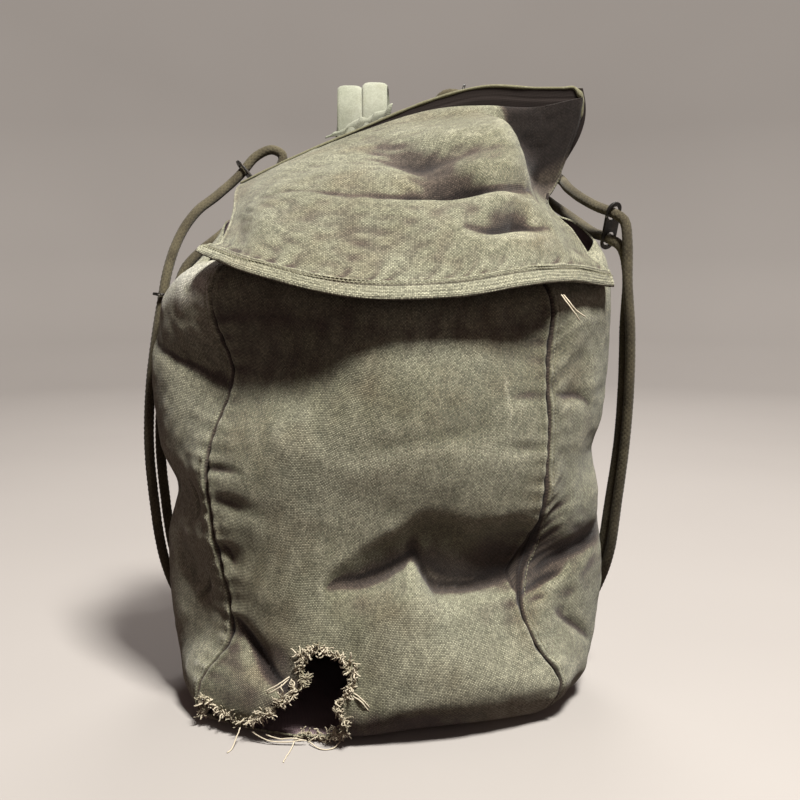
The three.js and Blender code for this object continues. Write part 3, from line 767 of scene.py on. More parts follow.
def tube_mesh(paths, radii, sides):
    """Vertices and faces of round threads: each path is an array of points, with its radii."""
    vertices, faces = [], []
    count = 0
    angle = circle(sides)
    around = np.arange(sides)
    after = np.roll(around, -1)
    quads = np.stack([around, after, after + sides, around + sides], 1)
    for path, radius in zip(paths, radii):
        tangent = unit(np.gradient(path, axis=0))
        hint = STEEP_HINT if abs(tangent[0, 2]) >= STEEP else HINT
        first = unit(np.cross(tangent, hint))
        second = np.cross(tangent, first)
        size = np.broadcast_to(radius, len(path))[:, None, None]
        vertices.append(rings(path, first, second, angle, size).reshape(-1, 3))
        last = count + (len(path) - 1) * sides
        for low in range(count, last, sides):
            faces.extend((low + quads).tolist())
        faces.append((count + around[::-1]).tolist())
        faces.append((last + around).tolist())
        count = last + sides
    return np.vstack(vertices), faces


def tubes(name, paths, radii, sides, material, tones):
    """Many round threads as one piece of the canvas."""
    vertices, faces = tube_mesh(paths, radii, sides)
    piece = new_piece(name, vertices, faces, material)
    add_value(piece, "tone", np.repeat(tones, [len(path) * sides for path in paths]))


def stitch_paths(line, normals):
    """One short thread for each stitch along a line of points on a cloth."""
    run = run_lengths(line, 0)
    paths = []
    for start in np.arange(STITCH_PITCH / 2, run[-1] - STITCH_PITCH, STITCH_PITCH):
        places = start + np.linspace(0, STITCH_LONG, len(STITCH_RISE))
        facing = unit(at_lengths(places, run, normals))
        paths.append(at_lengths(places, run, line) + facing * STITCH_RISE[:, None])
    return paths


def stitch_row(grid, distance, line):
    """Stitches along the row of a cloth that lies nearest to a distance from its edge."""
    row = np.argmin(np.abs(distance.mean(1) - line))
    return stitch_paths(grid[row], grid_normals(grid)[row])


# Materials

SPECULAR = 0.25


class Shader:
    """A material that is built node by node."""

    def __init__(self, name):
        self.material = bpy.data.materials.new(name)
        self.material.use_nodes = True
        self.tree = self.material.node_tree
        self.surface = self.tree.nodes["Principled BSDF"]

    def put(self, socket, value):
        if isinstance(value, bpy.types.NodeSocket):
            self.tree.links.new(value, socket)
        else:
            socket.default_value = value

    def node(self, kind, inputs=None, **settings):
        made = self.tree.nodes.new("ShaderNode" + kind)
        for key, value in settings.items():
            setattr(made, key, value)
        for key, value in (inputs or {}).items():
            self.put(made.inputs[key], value)
        return made

    def math(self, operation, a, b=0.0):
        return self.node("Math", {0: a, 1: b}, operation=operation).outputs[0]

    def mix(self, factor, a, b, blend="MIX"):
        made = self.node("Mix", {0: factor, 6: a, 7: b}, data_type="RGBA", blend_type=blend)
        return made.outputs[2]

    def blend(self, factor, a, b):
        return self.node("Mix", {0: factor, 2: a, 3: b}, data_type="FLOAT").outputs[0]

    def span(self, value, low, high, to_low=0.0, to_high=1.0):
        return self.node("MapRange", {0: value, 1: low, 2: high, 3: to_low, 4: to_high}).outputs[0]

    def noise(self, vector, scale, detail=2.0, roughness=0.5):
        inputs = {"Vector": vector, "Scale": scale, "Detail": detail, "Roughness": roughness}
        return self.node("TexNoise", inputs).outputs[0]

    def place(self):
        return self.node("TexCoord").outputs["Object"]

    def value(self, name):
        return self.node("Attribute", attribute_name=name).outputs["Fac"]

    def bump(self, height, distance, strength):
        inputs = {"Height": height, "Distance": distance * MM, "Strength": strength}
        return self.node("Bump", inputs).outputs[0]

    def stain(self, color, where, low, high, most, tint):
        """A color stained with a tint, more and more as a value goes from low to high."""
        return self.mix(self.span(where, low, high, 0, most), color, rgb(*tint))

    def shaded(self, color, tone, *more):
        """A color made darker or paler by tones."""
        for other in more:
            tone = self.math("MULTIPLY", tone, other)
        gray = self.node("CombineColor", {0: tone, 1: tone, 2: tone}).outputs[0]
        return self.mix(1.0, color, gray, "MULTIPLY")

    def finish(self, color, roughness, normal=None, sheen=0.0, metallic=0.0):
        self.put(self.surface.inputs["Base Color"], color)
        self.put(self.surface.inputs["Roughness"], roughness)
        self.surface.inputs["Metallic"].default_value = metallic
        self.surface.inputs["Sheen Weight"].default_value = sheen
        self.surface.inputs["Specular IOR Level"].default_value = SPECULAR
        if normal is not None:
            self.put(self.surface.inputs["Normal"], normal)
        return self.material


def rgb(red, green, blue):
    return (red, green, blue, 1.0)


def weave(shader, yarn):
    """Height of a plain weave, from 0 to 1, which yarn lies on top, and a shade for each crossing."""
    split = shader.node("SeparateXYZ", {0: shader.node("UVMap").outputs[0]})
    count = [shader.math("DIVIDE", split.outputs[k], yarn * MM) for k in (0, 1)]
    waves = [shader.math("SINE", shader.math("MULTIPLY", c, math.pi)) for c in count]
    yarns = [shader.math("ABSOLUTE", wave) for wave in waves]
    crossed = [shader.span(other, 0, 1, 0.45, 1) for other in yarns[::-1]]
    whole = [shader.math("FLOOR", c) for c in count]
    over = shader.math("FLOORED_MODULO", shader.math("ADD", whole[0], whole[1]), 2.0)
    arch = [shader.math("MULTIPLY", yarns[k], crossed[k]) for k in (0, 1)]
    height = shader.blend(over, arch[0], arch[1])
    cell = shader.node("CombineXYZ", {0: whole[0], 1: whole[1]}).outputs[0]
    shade = shader.node("TexWhiteNoise", {"Vector": cell}, noise_dimensions="2D").outputs[0]
    return height, over, shade


def canvas_material():
    shader = Shader("olive_duck")
    place = shader.place()
    height, over, shade = weave(shader, YARN)
    paleness = shader.span(shader.noise(place, 9, 4, 0.6), 0.42, 0.66)
    color = shader.mix(paleness, rgb(0.165, 0.158, 0.105), rgb(0.235, 0.23, 0.165))
    # This value carries wear together with painted light and painted shade.
    wear_and_light = shader.value("wear_and_light")
    for where, low, high, most, tint in (
        (shader.noise(place, 14, 3, 0.55), 0.5, 0.72, 0.55, (0.15, 0.115, 0.07)),  # brown patches
        (wear_and_light, 0.1, 0.9, 0.55, (0.36, 0.345, 0.25)),  # faded by wear, and painted light on the front and sides
        (wear_and_light, 1.3, 2.1, 0.75, (0.58, 0.56, 0.48)),  # rubbed white, also reached by the palest painted light on proud cloth
        (wear_and_light, -0.1, -0.9, 0.8, (0.055, 0.034, 0.03)),  # painted shade in folds, hollows and under the lid, and grime in the seams
        (wear_and_light, -0.9, -2.0, 0.85, (0.013, 0.0085, 0.008)),  # painted black shade in the deepest creases and hollows, and black seams
    ):
        color = shader.stain(color, where, low, high, most, tint)
    color = shader.shaded(
        color,
        # Painted shade: the weave is darker in the hollows between its yarns.
        shader.span(height, 0, 1, 0.66, 1.14),
        shader.span(shader.noise(place, 150, 3, 0.6), 0.25, 0.75, 0.82, 1.18),
        shader.span(shade, 0, 1, 0.64, 1.36),
        shader.span(over, 0, 1, 0.82, 1.18),
    )
    return shader.finish(color, 0.95, shader.bump(height, 0.45, 0.75), sheen=0.12)


def inside_material(name, dark, pale):
    """The inside of the cloth."""
    shader = Shader(name)
    height = weave(shader, YARN)[0]
    color = shader.mix(shader.noise(shader.place(), 20, 3), rgb(*dark), rgb(*pale))
    # Painted shade: the weave is darker in the hollows between its yarns.
    color = shader.shaded(color, shader.span(height, 0, 1, 0.6, 1.2))
    return shader.finish(color, 0.95, shader.bump(height, 0.2, 0.4))


def webbing_material():
    shader = Shader("pale_webbing")
    place = shader.place()
    height, _, shade = weave(shader, WEBBING_YARN)
    paleness = shader.span(shader.noise(place, 22, 3), 0.35, 0.7)
    color = shader.mix(paleness, rgb(0.24, 0.25, 0.185), rgb(0.36, 0.365, 0.29))
    color = shader.stain(color, shader.noise(place, 60, 3), 0.55, 0.8, 0.5, (0.25, 0.24, 0.16))
    lit = shader.span(height, 0, 1, 0.72, 1.1)
    color = shader.shaded(color, lit, shader.span(shade, 0, 1, 0.9, 1.1))
    return shader.finish(color, 0.9, shader.bump(height, 0.3, 0.7), sheen=0.1)


def cord_material():
    shader = Shader("braided_cotton")
    place = shader.place()
    paleness = shader.span(shader.noise(place, 35, 3), 0.4, 0.7)
    color = shader.mix(paleness, rgb(0.046, 0.037, 0.022), rgb(0.095, 0.08, 0.048))
    # Painted shade: darker in the grooves between the braid's strands.
    color = shader.stain(color, shader.value("ridge"), 0.55, 0.05, 0.85, (0.028, 0.022, 0.013))
    color = shader.stain(color, shader.noise(place, 900, 2), 0.5, 0.8, 0.5, (0.2, 0.175, 0.105))
    normal = shader.bump(shader.noise(place, 1400, 2), 0.3, 0.6)
    return shader.finish(color, 0.95, normal, sheen=0.1)


def slide_material():
    shader = Shader("worn_dark_paint")
    place = shader.place()
    chip = shader.span(shader.noise(place, 260, 5, 0.65), 0.56, 0.63)
    rim = shader.span(shader.value("edge"), 0.25, 0.9)
    bare = shader.math("MULTIPLY", chip, shader.span(rim, 0, 1, 0.12, 0.9))
    rust = shader.span(shader.noise(place, 120, 4), 0.5, 0.75, 0, 0.6)
    paint = shader.mix(rust, rgb(0.016, 0.014, 0.012), rgb(0.05, 0.032, 0.02))
    color = shader.mix(bare, paint, rgb(0.3, 0.28, 0.25))
    roughness = shader.span(shader.noise(place, 180, 3), 0.3, 0.7, 0.35, 0.6)
    normal = shader.bump(shader.noise(place, 420, 3), 0.1, 0.5)
    return shader.finish(color, roughness, normal, metallic=0.55)


def thread_material(name, dark, pale):
    """Cotton thread, from dark to pale by each thread's own tone."""
    shader = Shader(name)
    place = shader.place()
    mottle = shader.span(shader.noise(place, 700, 3), 0.3, 0.7, -0.25, 0.25)
    color = shader.mix(shader.math("ADD", shader.value("tone"), mottle), rgb(*dark), rgb(*pale))
    normal = shader.bump(shader.noise(place, 2200, 2), 0.15, 0.6)
    return shader.finish(color, 0.95, normal, sheen=0.1)


def floor_material():
    shader = Shader("pale_floor")
    tone = shader.span(shader.noise(shader.place(), 1.2, 3), 0.3, 0.7)
    color = shader.mix(tone, rgb(0.33, 0.305, 0.287), rgb(0.352, 0.326, 0.307))
    return shader.finish(color, 0.75)


CANVAS_LOOK = canvas_material()
# Painted shade: the inner faces of the back and lid are near black, as if always in shadow.
SHADED_INSIDE_LOOK = inside_material("painted_shade_inside", (0.017, 0.012, 0.0105), (0.029, 0.021, 0.018))
# Painted light: a pale pinkish inside for the front and sides, standing in for light that reaches in
# through the tear and under the lid.
LIT_INSIDE_LOOK = inside_material("painted_light_inside", (0.24, 0.17, 0.18), (0.34, 0.25, 0.26))
WEBBING_LOOK = webbing_material()
CORD_LOOK = cord_material()
SLIDE_LOOK = slide_material()
STITCH_LOOK = thread_material("olive_thread", (0.13, 0.12, 0.07), (0.3, 0.29, 0.2))
FRAY_LOOK = thread_material("frayed_cotton", (0.17, 0.15, 0.09), (0.56, 0.49, 0.37))


# Panels

# Grids: fine steps in a band along the seams and wider ones between them. A panel's bottom edge,
# wall and shoulder are divided as if they had these lengths.
SEAM_BAND = 14
FINE_STEP = 0.9
PANEL_STEP = 2.2
BACK_STEPS = (1.2, 3.2)
BASE_STEP = 10
FOOT_RUN = 46
WALL_RUN = 330
TOP_RUN = 55
TOP_STEP = 4

# Seams: how near to them neighbours meet, how deep and how wide they are drawn in, above which
# heights, how dirty they are, and the flat fell beside them on the sides, with its stitches
SEAM_MEET = 1.6
SEAM_DEPTH = 3.6
GROOVE = {"front": 2.4, "side": 1.3, "back": 2}
GROOVE_FOOT = (3, 24)
SEAM_DIRT = 2.2
SEAM_DIRT_REACH = 2.4
FELL_WIDTH = 8.5
FELL_STAND = {"left": 0.25, "right": 0.3}
FELL_STITCH = FELL_WIDTH - 2.2
STITCH_GROOVE = 0.5

# The rolled edge along the top of the back panel, and its stitches
EDGE_WIDTH = 11
EDGE_STAND = 1.3
EDGE_STITCH = EDGE_WIDTH - 2.5

# Waves of the slack cloth: height and length of broad ones, then of fine ones, and their seed
FRONT_WAVES = (1.1, 62, 0.35, 21, 3)
SIDE_WAVES = (1.2, 55, 0.35, 19)
BACK_WAVES = (1.0, 70, 0.3, 20, 51)
LID_WAVES = (1.0, 60, 0.35, 20, 61)
TORN_WAVES = (1.2, 7, 0.5, 3, 21)

# Gathers along the seams: height, reach, pitch and seed
FRONT_GATHERS = (1.1, 16, 17, 5)
SIDE_GATHERS = (1.3, 18, 15)
SIDE_BACK_GATHERS = (0.9, 14, 18)
BACK_GATHERS = (0.9, 15, 18, 53)
LID_GATHERS = (0.9, 12, 14, 63)

# Sides: the turn that each starts at, its creases, whether its front seam comes first, and its seed
SIDES = {"left": (3, LEFT_CREASES, False, 31), "right": (1, RIGHT_CREASES, True, 41)}

# Painted light on the front's belly and lower belly, and painted shade on the facet at its lower
# left, as dents are written: depth is how pale, below 0 how dark
FRONT_PAINTED_LIGHT = table(DENT_COLUMNS, [
    (30, 195, 0, 260, 220, 0.75),
    (60, 75, 0, 220, 100, 0.4),
    (-105, 50, 0, 90, 80, -1.4),
])

# Painted shade: in folds, below the front's large fold (how far below its crease, and how far it
# reaches), along the bottom edge of the front where it turns under, and towards the top of the front,
# under the lid
ARCH_PAINTED_SHADE = 0.05
CREASE_PAINTED_SHADE = 0.06
SIDE_CREASE_PAINTED_SHADE = 0.05
LIP_PAINTED_SHADE = 1.3
LIP_MIDDLE = 16
LIP_REACH = 25
LIP_DEEP = 20
FOOT_PAINTED_SHADE = 1.7
FOOT_SHADE_X = (-70, -20, 60, 115)
FOOT_SHADE_Z = (24, 46)
TOP_PAINTED_SHADE = [(0.8, 345, 375), (0.25, 255, 300)]

# Painted light on the sides near the front seam: the left one is pale, less so above its middle and
# again at its top; the right one is a little pale and has painted shade along a fold
SIDE_LIGHT_SPAN = (80, 170)
LEFT_PAINTED_LIGHT = 0.8
LEFT_LESS_LIGHT = (0.45, 200, 280)
LEFT_TOP_LIGHT = (0.7, 335, 375)
RIGHT_PAINTED_LIGHT = 0.15
RIGHT_FOLD_SHADE = (1.3, 148, 36)

# A pale rubbed streak near the right seam: its two ends, x and z
CHAFE_TOP = (106, 316)
CHAFE_FOOT = (110, 282)
CHAFE_WIDE = 2.2
CHAFE_PALE = 2.0

# How far the lowest cloth stays above the surface that the pack stands on
LOWEST = 0.02

# Points of the front panel with a smaller y are on its face, not under the pack.
FACE_Y = -60


def rise_places():
    """Rows of a panel from its lower edge to the rim."""
    foot = spaced((1, PANEL_STEP / FOOT_RUN))
    up = 1 + spaced((1, PANEL_STEP / WALL_RUN))[1:]
    top = 2 + spaced((1, TOP_STEP / TOP_RUN))[1:]
    return np.concatenate([foot, up, top])


def settle(grid, relief, from_seam, groove):
    """Moves a grid outward by its relief and draws its edges into the seams, so that neighbours meet
    there, kept above the surface that the pack stands on."""
    out = grid - np.array([0, AXIS_Y, 0])
    out[..., 2] = 0
    free = 1 - bell(from_seam, 0, SEAM_MEET)
    drawn = SEAM_DEPTH * bell(from_seam, 0, groove) * smoothstep(grid[..., 2], *GROOVE_FOOT)
    moved = grid + grid_normals(grid) * (relief * free)[..., None] - unit(out) * drawn[..., None]
    moved[..., 2] = np.maximum(moved[..., 2], LOWEST)
    return moved


def front_relief(x, z, from_seam, run):
    relief = -crease(FRONT_ARCH, x, z, shelf=True) - sum(crease(one, x, z) for one in FRONT_CREASES)
    relief += rumple(x, z, *FRONT_WAVES)
    relief += pucker(run, from_seam, *FRONT_GATHERS)
    relief += bell(from_seam, 6, 3.5)
    return relief


def front_cloth():
    """The front and the base as one grid, from the back of the base to the rim."""
    turns = seam_spaced(FRONT_ARC, FINE_STEP, PANEL_STEP, SEAM_BAND)
    turn, rise = np.meshgrid(turns, rise_places())
    grid = wall(turn, rise)
    from_seam = from_edges(run_lengths(grid, 1))
    relief = front_relief(grid[..., 0], grid[..., 2], from_seam, run_lengths(grid, 0))
    grid = settle(grid, relief * smoothstep(rise, 0.15, 0.6), from_seam, GROOVE["front"])
    back = 1 - spaced((1, BASE_STEP / BASE_DEPTH))[:-1]
    base = base_points(*np.meshgrid(turns, back))
    whole = np.concatenate([base, grid])
    uv = np.stack([np.broadcast_to(turns * FRONT_ARC, whole.shape[:2]), run_lengths(whole, 0)], -1)
    return whole, len(base), uv, from_edges(run_lengths(whole, 1))


def torn_distance(x, z):
    """How far points lie outside the tear's edge, negative inside it."""
    inside = np.zeros(x.shape, bool)
    distance = np.full(x.shape, np.inf)
    for a, b in zip(TEAR, np.roll(TEAR, -1, axis=0)):
        way = b - a
        t = np.clip(((x - a[0]) * way[0] + (z - a[1]) * way[1]) / (way @ way), 0, 1)
        distance = np.minimum(distance, np.hypot(x - a[0] - t * way[0], z - a[1] - t * way[1]))
        crosses = (a[1] > z) != (b[1] > z)
        slope = way[0] / (way[1] if abs(way[1]) > 1e-9 else 1e-9)
        inside ^= crosses & (x < a[0] + (z - a[1]) * slope)
    return np.where(inside, -distance, distance) + rumple(x, z, *TORN_WAVES)


def chafe(x, z):
    """How far a point lies in the rubbed streak."""
    (top_x, top), (foot_x, foot) = CHAFE_TOP, CHAFE_FOOT
    line = lerp(top_x, foot_x, np.clip((top - z) / (top - foot), 0, 1))
    ends = window(z, foot - 6, foot + 4, top - 4, top + 6)
    return bell(x, line, CHAFE_WIDE) * ends * (0.6 + 0.4 * ripple(x, z, 6, 71))


def front_paleness(x, z, from_seam):
    """Where the front is made paler or darker: painted light, a pale rubbed streak, painted shade in
    and below its folds, along its bottom edge and towards its top, and dark seams.
    """
    paleness = dents(FRONT_PAINTED_LIGHT, x, z) + CHAFE_PALE * chafe(x, z)
    # Painted shade in the folds, below the large fold, towards the top and along the bottom edge.
    paleness -= ARCH_PAINTED_SHADE * fold_shade(FRONT_ARCH, x, z, shelf=True)
    paleness -= CREASE_PAINTED_SHADE * fold_shade(FRONT_CREASES[0], x, z)
    paleness -= LIP_PAINTED_SHADE * fold_lip(FRONT_ARCH, x, z)
    paleness -= sum(darkness * smoothstep(z, low, high) for darkness, low, high in TOP_PAINTED_SHADE)
    paleness -= FOOT_PAINTED_SHADE * window(x, *FOOT_SHADE_X) * (1 - smoothstep(z, *FOOT_SHADE_Z))
    return paleness - SEAM_DIRT * bell(from_seam, 0, SEAM_DIRT_REACH)


def front_panel():
    grid, base_rows, uv, from_seam = front_cloth()
    x, y, z = np.moveaxis(grid, -1, 0)
    torn = (torn_distance(x, z) < 0) & (y < FACE_Y)
    torn[:base_rows] = False
    gone = torn[:-1, :-1] & torn[:-1, 1:] & torn[1:, 1:] & torn[1:, :-1]
    paleness = front_paleness(x, z, from_seam)
    piece = cloth_piece("front_cloth", grid, uv, ~gone.reshape(-1), paleness, LIT_INSIDE_LOOK)
    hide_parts("front_panel")
    return grid


def side_cloth(name):
    first_turn, creases, front_first, seed = SIDES[name]
    turns = seam_spaced(SIDE_ARC, FINE_STEP, PANEL_STEP, SEAM_BAND)
    turn, rise = np.meshgrid(first_turn + turns, rise_places())
    grid = wall(np.where(turn == 4, 0, turn), rise)
    across = run_lengths(grid, 1)
    across = across if front_first else across[:, -1:] - across
    from_back = across.max(1, keepdims=True) - across
    z, run = grid[..., 2], run_lengths(grid, 0)
    relief = -sum(crease(one, across, z) for one in creases)
    relief += rumple(across, z, *SIDE_WAVES, seed)
    relief += pucker(run, across, *SIDE_GATHERS, seed + 2)
    relief += pucker(run, from_back, *SIDE_BACK_GATHERS, seed + 3)
    relief += FELL_STAND[name] * (1 - smoothstep(across, FELL_WIDTH - 1, FELL_WIDTH + 0.6))
    relief -= STITCH_GROOVE * bell(across, FELL_STITCH, 0.9)
    relief *= smoothstep(rise, 0.1, 0.5)
    grid = settle(grid, relief, np.minimum(across, from_back), GROOVE["side"])
    return grid, np.stack([across, run], -1)


def side_paleness(name, across, z):
    """Where a side is made paler or darker: painted light near its front seam, painted shade in its
    folds, and a dark seam.
    """
    # Painted light on both sides, and painted shade along a fold of the right side.
    if name == "left":
        (dull, *dull_z), (top, *top_z) = LEFT_LESS_LIGHT, LEFT_TOP_LIGHT
        paleness = LEFT_PAINTED_LIGHT - dull * smoothstep(z, *dull_z) + top * smoothstep(z, *top_z)
    else:
        darkness, *fold_z = RIGHT_FOLD_SHADE
        paleness = RIGHT_PAINTED_LIGHT - darkness * bell(z, *fold_z)
    paleness = paleness * (1 - smoothstep(across, *SIDE_LIGHT_SPAN))
    # Painted shade in the folds.
    paleness -= SIDE_CREASE_PAINTED_SHADE * sum(fold_shade(one, across, z) for one in SIDES[name][1])
    return paleness - SEAM_DIRT * bell(across, 0, SEAM_DIRT_REACH)


def seam_line(grid, across, distance):
    """The line on a grid that runs at a distance from its front seam, with its normals."""
    column = np.argmin(np.abs(across - distance), axis=1)
    rows = np.arange(len(grid))
    return grid[rows, column], grid_normals(grid)[rows, column]


def side_panels():
    """Both sides. Gives the stitches of their seams."""
    stitches = []
    for name in SIDES:
        grid, uv = side_cloth(name)
        across = uv[..., 0]
        paleness = side_paleness(name, across, grid[..., 2])
        piece = cloth_piece("side_cloth_" + name, grid, uv, None, paleness, LIT_INSIDE_LOOK)
        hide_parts("side_panel_" + name)
        line, normals = seam_line(grid, across, FELL_STITCH)
        stitches += stitch_paths(line[8:], normals[8:])
    return stitches


def top_edge(u):
    """Points along the upper edge of the back panel."""
    y = TOP_EDGE_Y - edge_lean(u)
    return np.stack([along(LID, "u", u, "back_x"), y, along(LID, "u", u, "back_z")], -1)


def back_grid():
    """The back panel without its relief: its wall, and above the rim its free upper part."""
    turns = seam_spaced(FRONT_ARC, *BACK_STEPS, SEAM_BAND)
    lower = wall(*np.meshgrid(2 + turns, rise_places()))
    lift = spaced((0.86, 0.035), (1, 0.012))[1:]
    upper = lerp(lower[-1], top_edge(1 - turns), lift[:, None, None])
    upper[..., 0] += ear_bulge(lift)[:, None] * (1 - smoothstep(turns, 0, 0.3))
    return np.concatenate([lower, upper])


def back_panel():
    """The back. Gives the stitches of its upper edge."""
    grid = back_grid()
    across, run = run_lengths(grid, 1), run_lengths(grid, 0)
    from_seam = from_edges(across)
    below = run[-1] - run
    x, z = grid[..., 0], grid[..., 2]
    relief = rumple(x, z, *BACK_WAVES) + pucker(run, from_seam, *BACK_GATHERS)
    under_straps = smoothstep(np.abs(np.abs(x) - 20), 60, 20)
    relief *= smoothstep(run, 6, 30) * smoothstep(below, 10, 60) * (1 - 0.7 * under_straps)
    relief += EDGE_STAND * (1 - smoothstep(below, EDGE_WIDTH - 1, EDGE_WIDTH + 1))
    relief -= STITCH_GROOVE * bell(below, EDGE_STITCH, 1.0)
    grid = settle(grid, relief, np.where(z < RIM_BACK, from_seam, 50), GROOVE["back"])
    piece = cloth_piece("back_cloth", grid, np.stack([across, run], -1), None)
    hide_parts("back_panel")
    return stitch_row(grid, below, EDGE_STITCH)


# Lid

# The hem: its two rows of stitches and how deep they lie, its ribs and where they end, the ridge of
# cloth above it, how far its edge turns under, and how it is worn
HEM_LINES = (15.4, 12.6)
HEM_GROOVE = 0.9
RIB_HEIGHT = 0.3
RIB_PITCH = 3.3
RIB_END = (10, 11.5)
HEM_RIDGE = 1.1
EDGE_TURN = 2.6
HEM_FADE = 0.55
HEM_DIRT = 1.1

# The rolled side edges, painted shade in the folds where they are deeper than a set depth, and
# painted shade on the standing corner
SIDE_ROLL = 3.5
ROLL_STAND = 0.9
LID_FOLD_PAINTED_SHADE = 0.11
FOLD_UNSHADED_DEPTH = 6
EAR_PAINTED_SHADE = 2.8

# The rolled binding: its radius, and the lump at its corner
BINDING = 1.5
BINDING_LUMP = 1.6
BINDING_TONE = 0.15
BINDING_STEP = 1.5


def lid_grid():
    u = spaced((20, 0.8), (LID_SPAN - 20, 2.3), (LID_SPAN, 0.8)) / LID_SPAN
    v = 1 - spaced((22, 0.65), (LID_DROP - 14, 2.2), (LID_DROP, 1.2)) / LID_DROP
    return np.meshgrid(u, v)


def lid_relief(u, v, from_hem, across):
    from_side = from_edges(across)
    edge = np.minimum(from_hem, from_side)
    swing = ripple(across, from_hem, 40, 64)
    ribs = RIB_HEIGHT * np.sin(2 * math.pi * from_hem / RIB_PITCH + swing)
    relief = HEM_EXTRA * (1 - smoothstep(from_hem, HEM_WIDTH - 1.2, HEM_WIDTH + 1.2))
    relief += ribs * (1 - smoothstep(from_hem, *RIB_END))
    relief += ROLL_STAND * (1 - smoothstep(from_side, SIDE_ROLL, SIDE_ROLL + 2))
    relief += HEM_RIDGE * bell(from_hem, HEM_WIDTH + 0.6, 1.3)
    relief -= HEM_GROOVE * sum(bell(from_hem, line, 0.8) for line in HEM_LINES)
    relief -= EDGE_TURN * (1 - smoothstep(edge, -0.5, 2.6))
    relief -= sum(crease(one, u * LID_SPAN, (1 - v) * LID_DROP) for one in LID_CREASES)
    relief += rumple(across, from_hem, *LID_WAVES) * smoothstep(edge, 6, 30)
    gathers = pucker(across, np.maximum(from_hem - HEM_WIDTH, 0), *LID_GATHERS)
    relief += gathers * smoothstep(from_hem, 15, 20)
    relief = lerp(relief, np.clip(relief, -1, 1), lid_ear(u, v))
    return relief * smoothstep(v, 0.0, 0.06)


def lid_paleness(u, v, from_hem, from_side):
    """Where the lid is made paler or darker: a worn pale hem and side edges, painted shade in its
    folds and hollows and on the standing corner, and dark stitching on the hem.
    """
    on_hem = 1 - smoothstep(from_hem, HEM_WIDTH, HEM_WIDTH + 3)
    paleness = HEM_FADE * np.maximum(on_hem, 1 - smoothstep(from_side, 1, SIDE_ROLL))
    # Painted shade in the deep folds.
    for one in LID_CREASES[:2]:
        deep = fold_shade(one, u * LID_SPAN, (1 - v) * LID_DROP)
        paleness -= LID_FOLD_PAINTED_SHADE * np.maximum(deep - FOLD_UNSHADED_DEPTH, 0)
    # Painted shade along the trough and in broad patches of the lid.
    paleness -= dents(LID_PAINTED_SHADE, u, v)
    paleness -= HEM_DIRT * bell(from_hem, np.mean(HEM_LINES), 1.7)
    # Painted shade on the standing corner behind the lid's fold, strongest near its top.
    behind_fold = smoothstep(u - 0.3 * v, 0.74, 0.79) * (1 - smoothstep(v, 0.42, 0.6))
    return paleness - EAR_PAINTED_SHADE * behind_fold * (1 - 0.7 * smoothstep(v, 0.18, 0.36))


def lid_flap():
    """The lid. Gives the stitches of its hem."""
    u, v = lid_grid()
    grid = lid_points(u, v)
    across, from_hem = run_lengths(grid, 1), run_lengths(grid, 0)
    paleness = lid_paleness(u, v, from_hem, from_edges(across))
    grid = grid + grid_normals(grid) * lid_relief(u, v, from_hem, across)[..., None]
    uv = np.stack([u * LID_SPAN, from_hem], -1)
    piece = cloth_piece("lid_cloth", grid, uv, None, paleness)
    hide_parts("lid_flap")
    return [path for line in HEM_LINES for path in stitch_row(grid, from_hem, line)]


def edge_binding():
    """The rolled edge along the top of the back panel and down the lid's standing corner."""
    across = top_edge(np.linspace(0, 1, 160))
    down = lid_points(np.ones(60), np.linspace(0, 0.1, 60))
    down[:, 1] += LID_CLEAR / 2
    corner = run_lengths(across, 0)[-1]
    path = curve_points(np.vstack([across[:-4:5], down[9::10]]), BINDING_STEP)
    run = run_lengths(path, 0)
    radius = BINDING + BINDING_LUMP * bell(run, corner, 4) + 0.25 * ripple(run, 0, 22, 91)
    radius *= 1 - 0.6 * smoothstep(run, corner + 20, run[-1])
    tubes("edge_binding", [path], [radius], 10, STITCH_LOOK, [BINDING_TONE])


# Webbing, cords and slides

# Straps: points across one face, ribs, how far the edges droop over the top bend, and the waves
# further down
STRAP_COLUMNS = 18
STRAP_RIBS = 8
STRAP_STEP = 2.4
STRAP_DROOP = 2.5
STRAP_WAVE = 1.2

# The bunched webbing below the straps: its two ends, how many folds it has, and its height
GATHER_LEFT = (-58, 116, 530)
GATHER_RIGHT = (8, 116, 556)
GATHER_FOLDS = 4.5
GATHER_TALL = 10
GATHER_THICK = 1.6
GATHER_LEAN = np.array([1.2, -1.5, 0.5])

# A tab: how far in its stitches run, from its middle to its edge
TAB_SEW = 0.72
TAB_CLOTH = 1.2


def frames_along(points, hint):
    """Sideways and facing vectors along a line, sideways as near to a hint as can be."""
    tangent = unit(np.gradient(points, axis=0))
    side = unit(hint - tangent * (tangent @ hint)[:, None])
    return side, np.cross(side, tangent)


def strap_profile():
    """The strap's section: across it and out of its face, once around."""
    across = np.linspace(-1, 1, STRAP_COLUMNS)
    edge = np.sqrt(np.clip(1 - np.abs(across) ** 8, 0, 1))
    rib = 1 + 0.1 * np.cos(across * math.pi * STRAP_RIBS)
    thick = STRAP_THICK / 2 * np.maximum(edge, 0.25) * rib
    face = np.stack([across * STRAP_FULL / 2, thick], 1)
    return np.vstack([face, face[::-1] * [1, -1]])


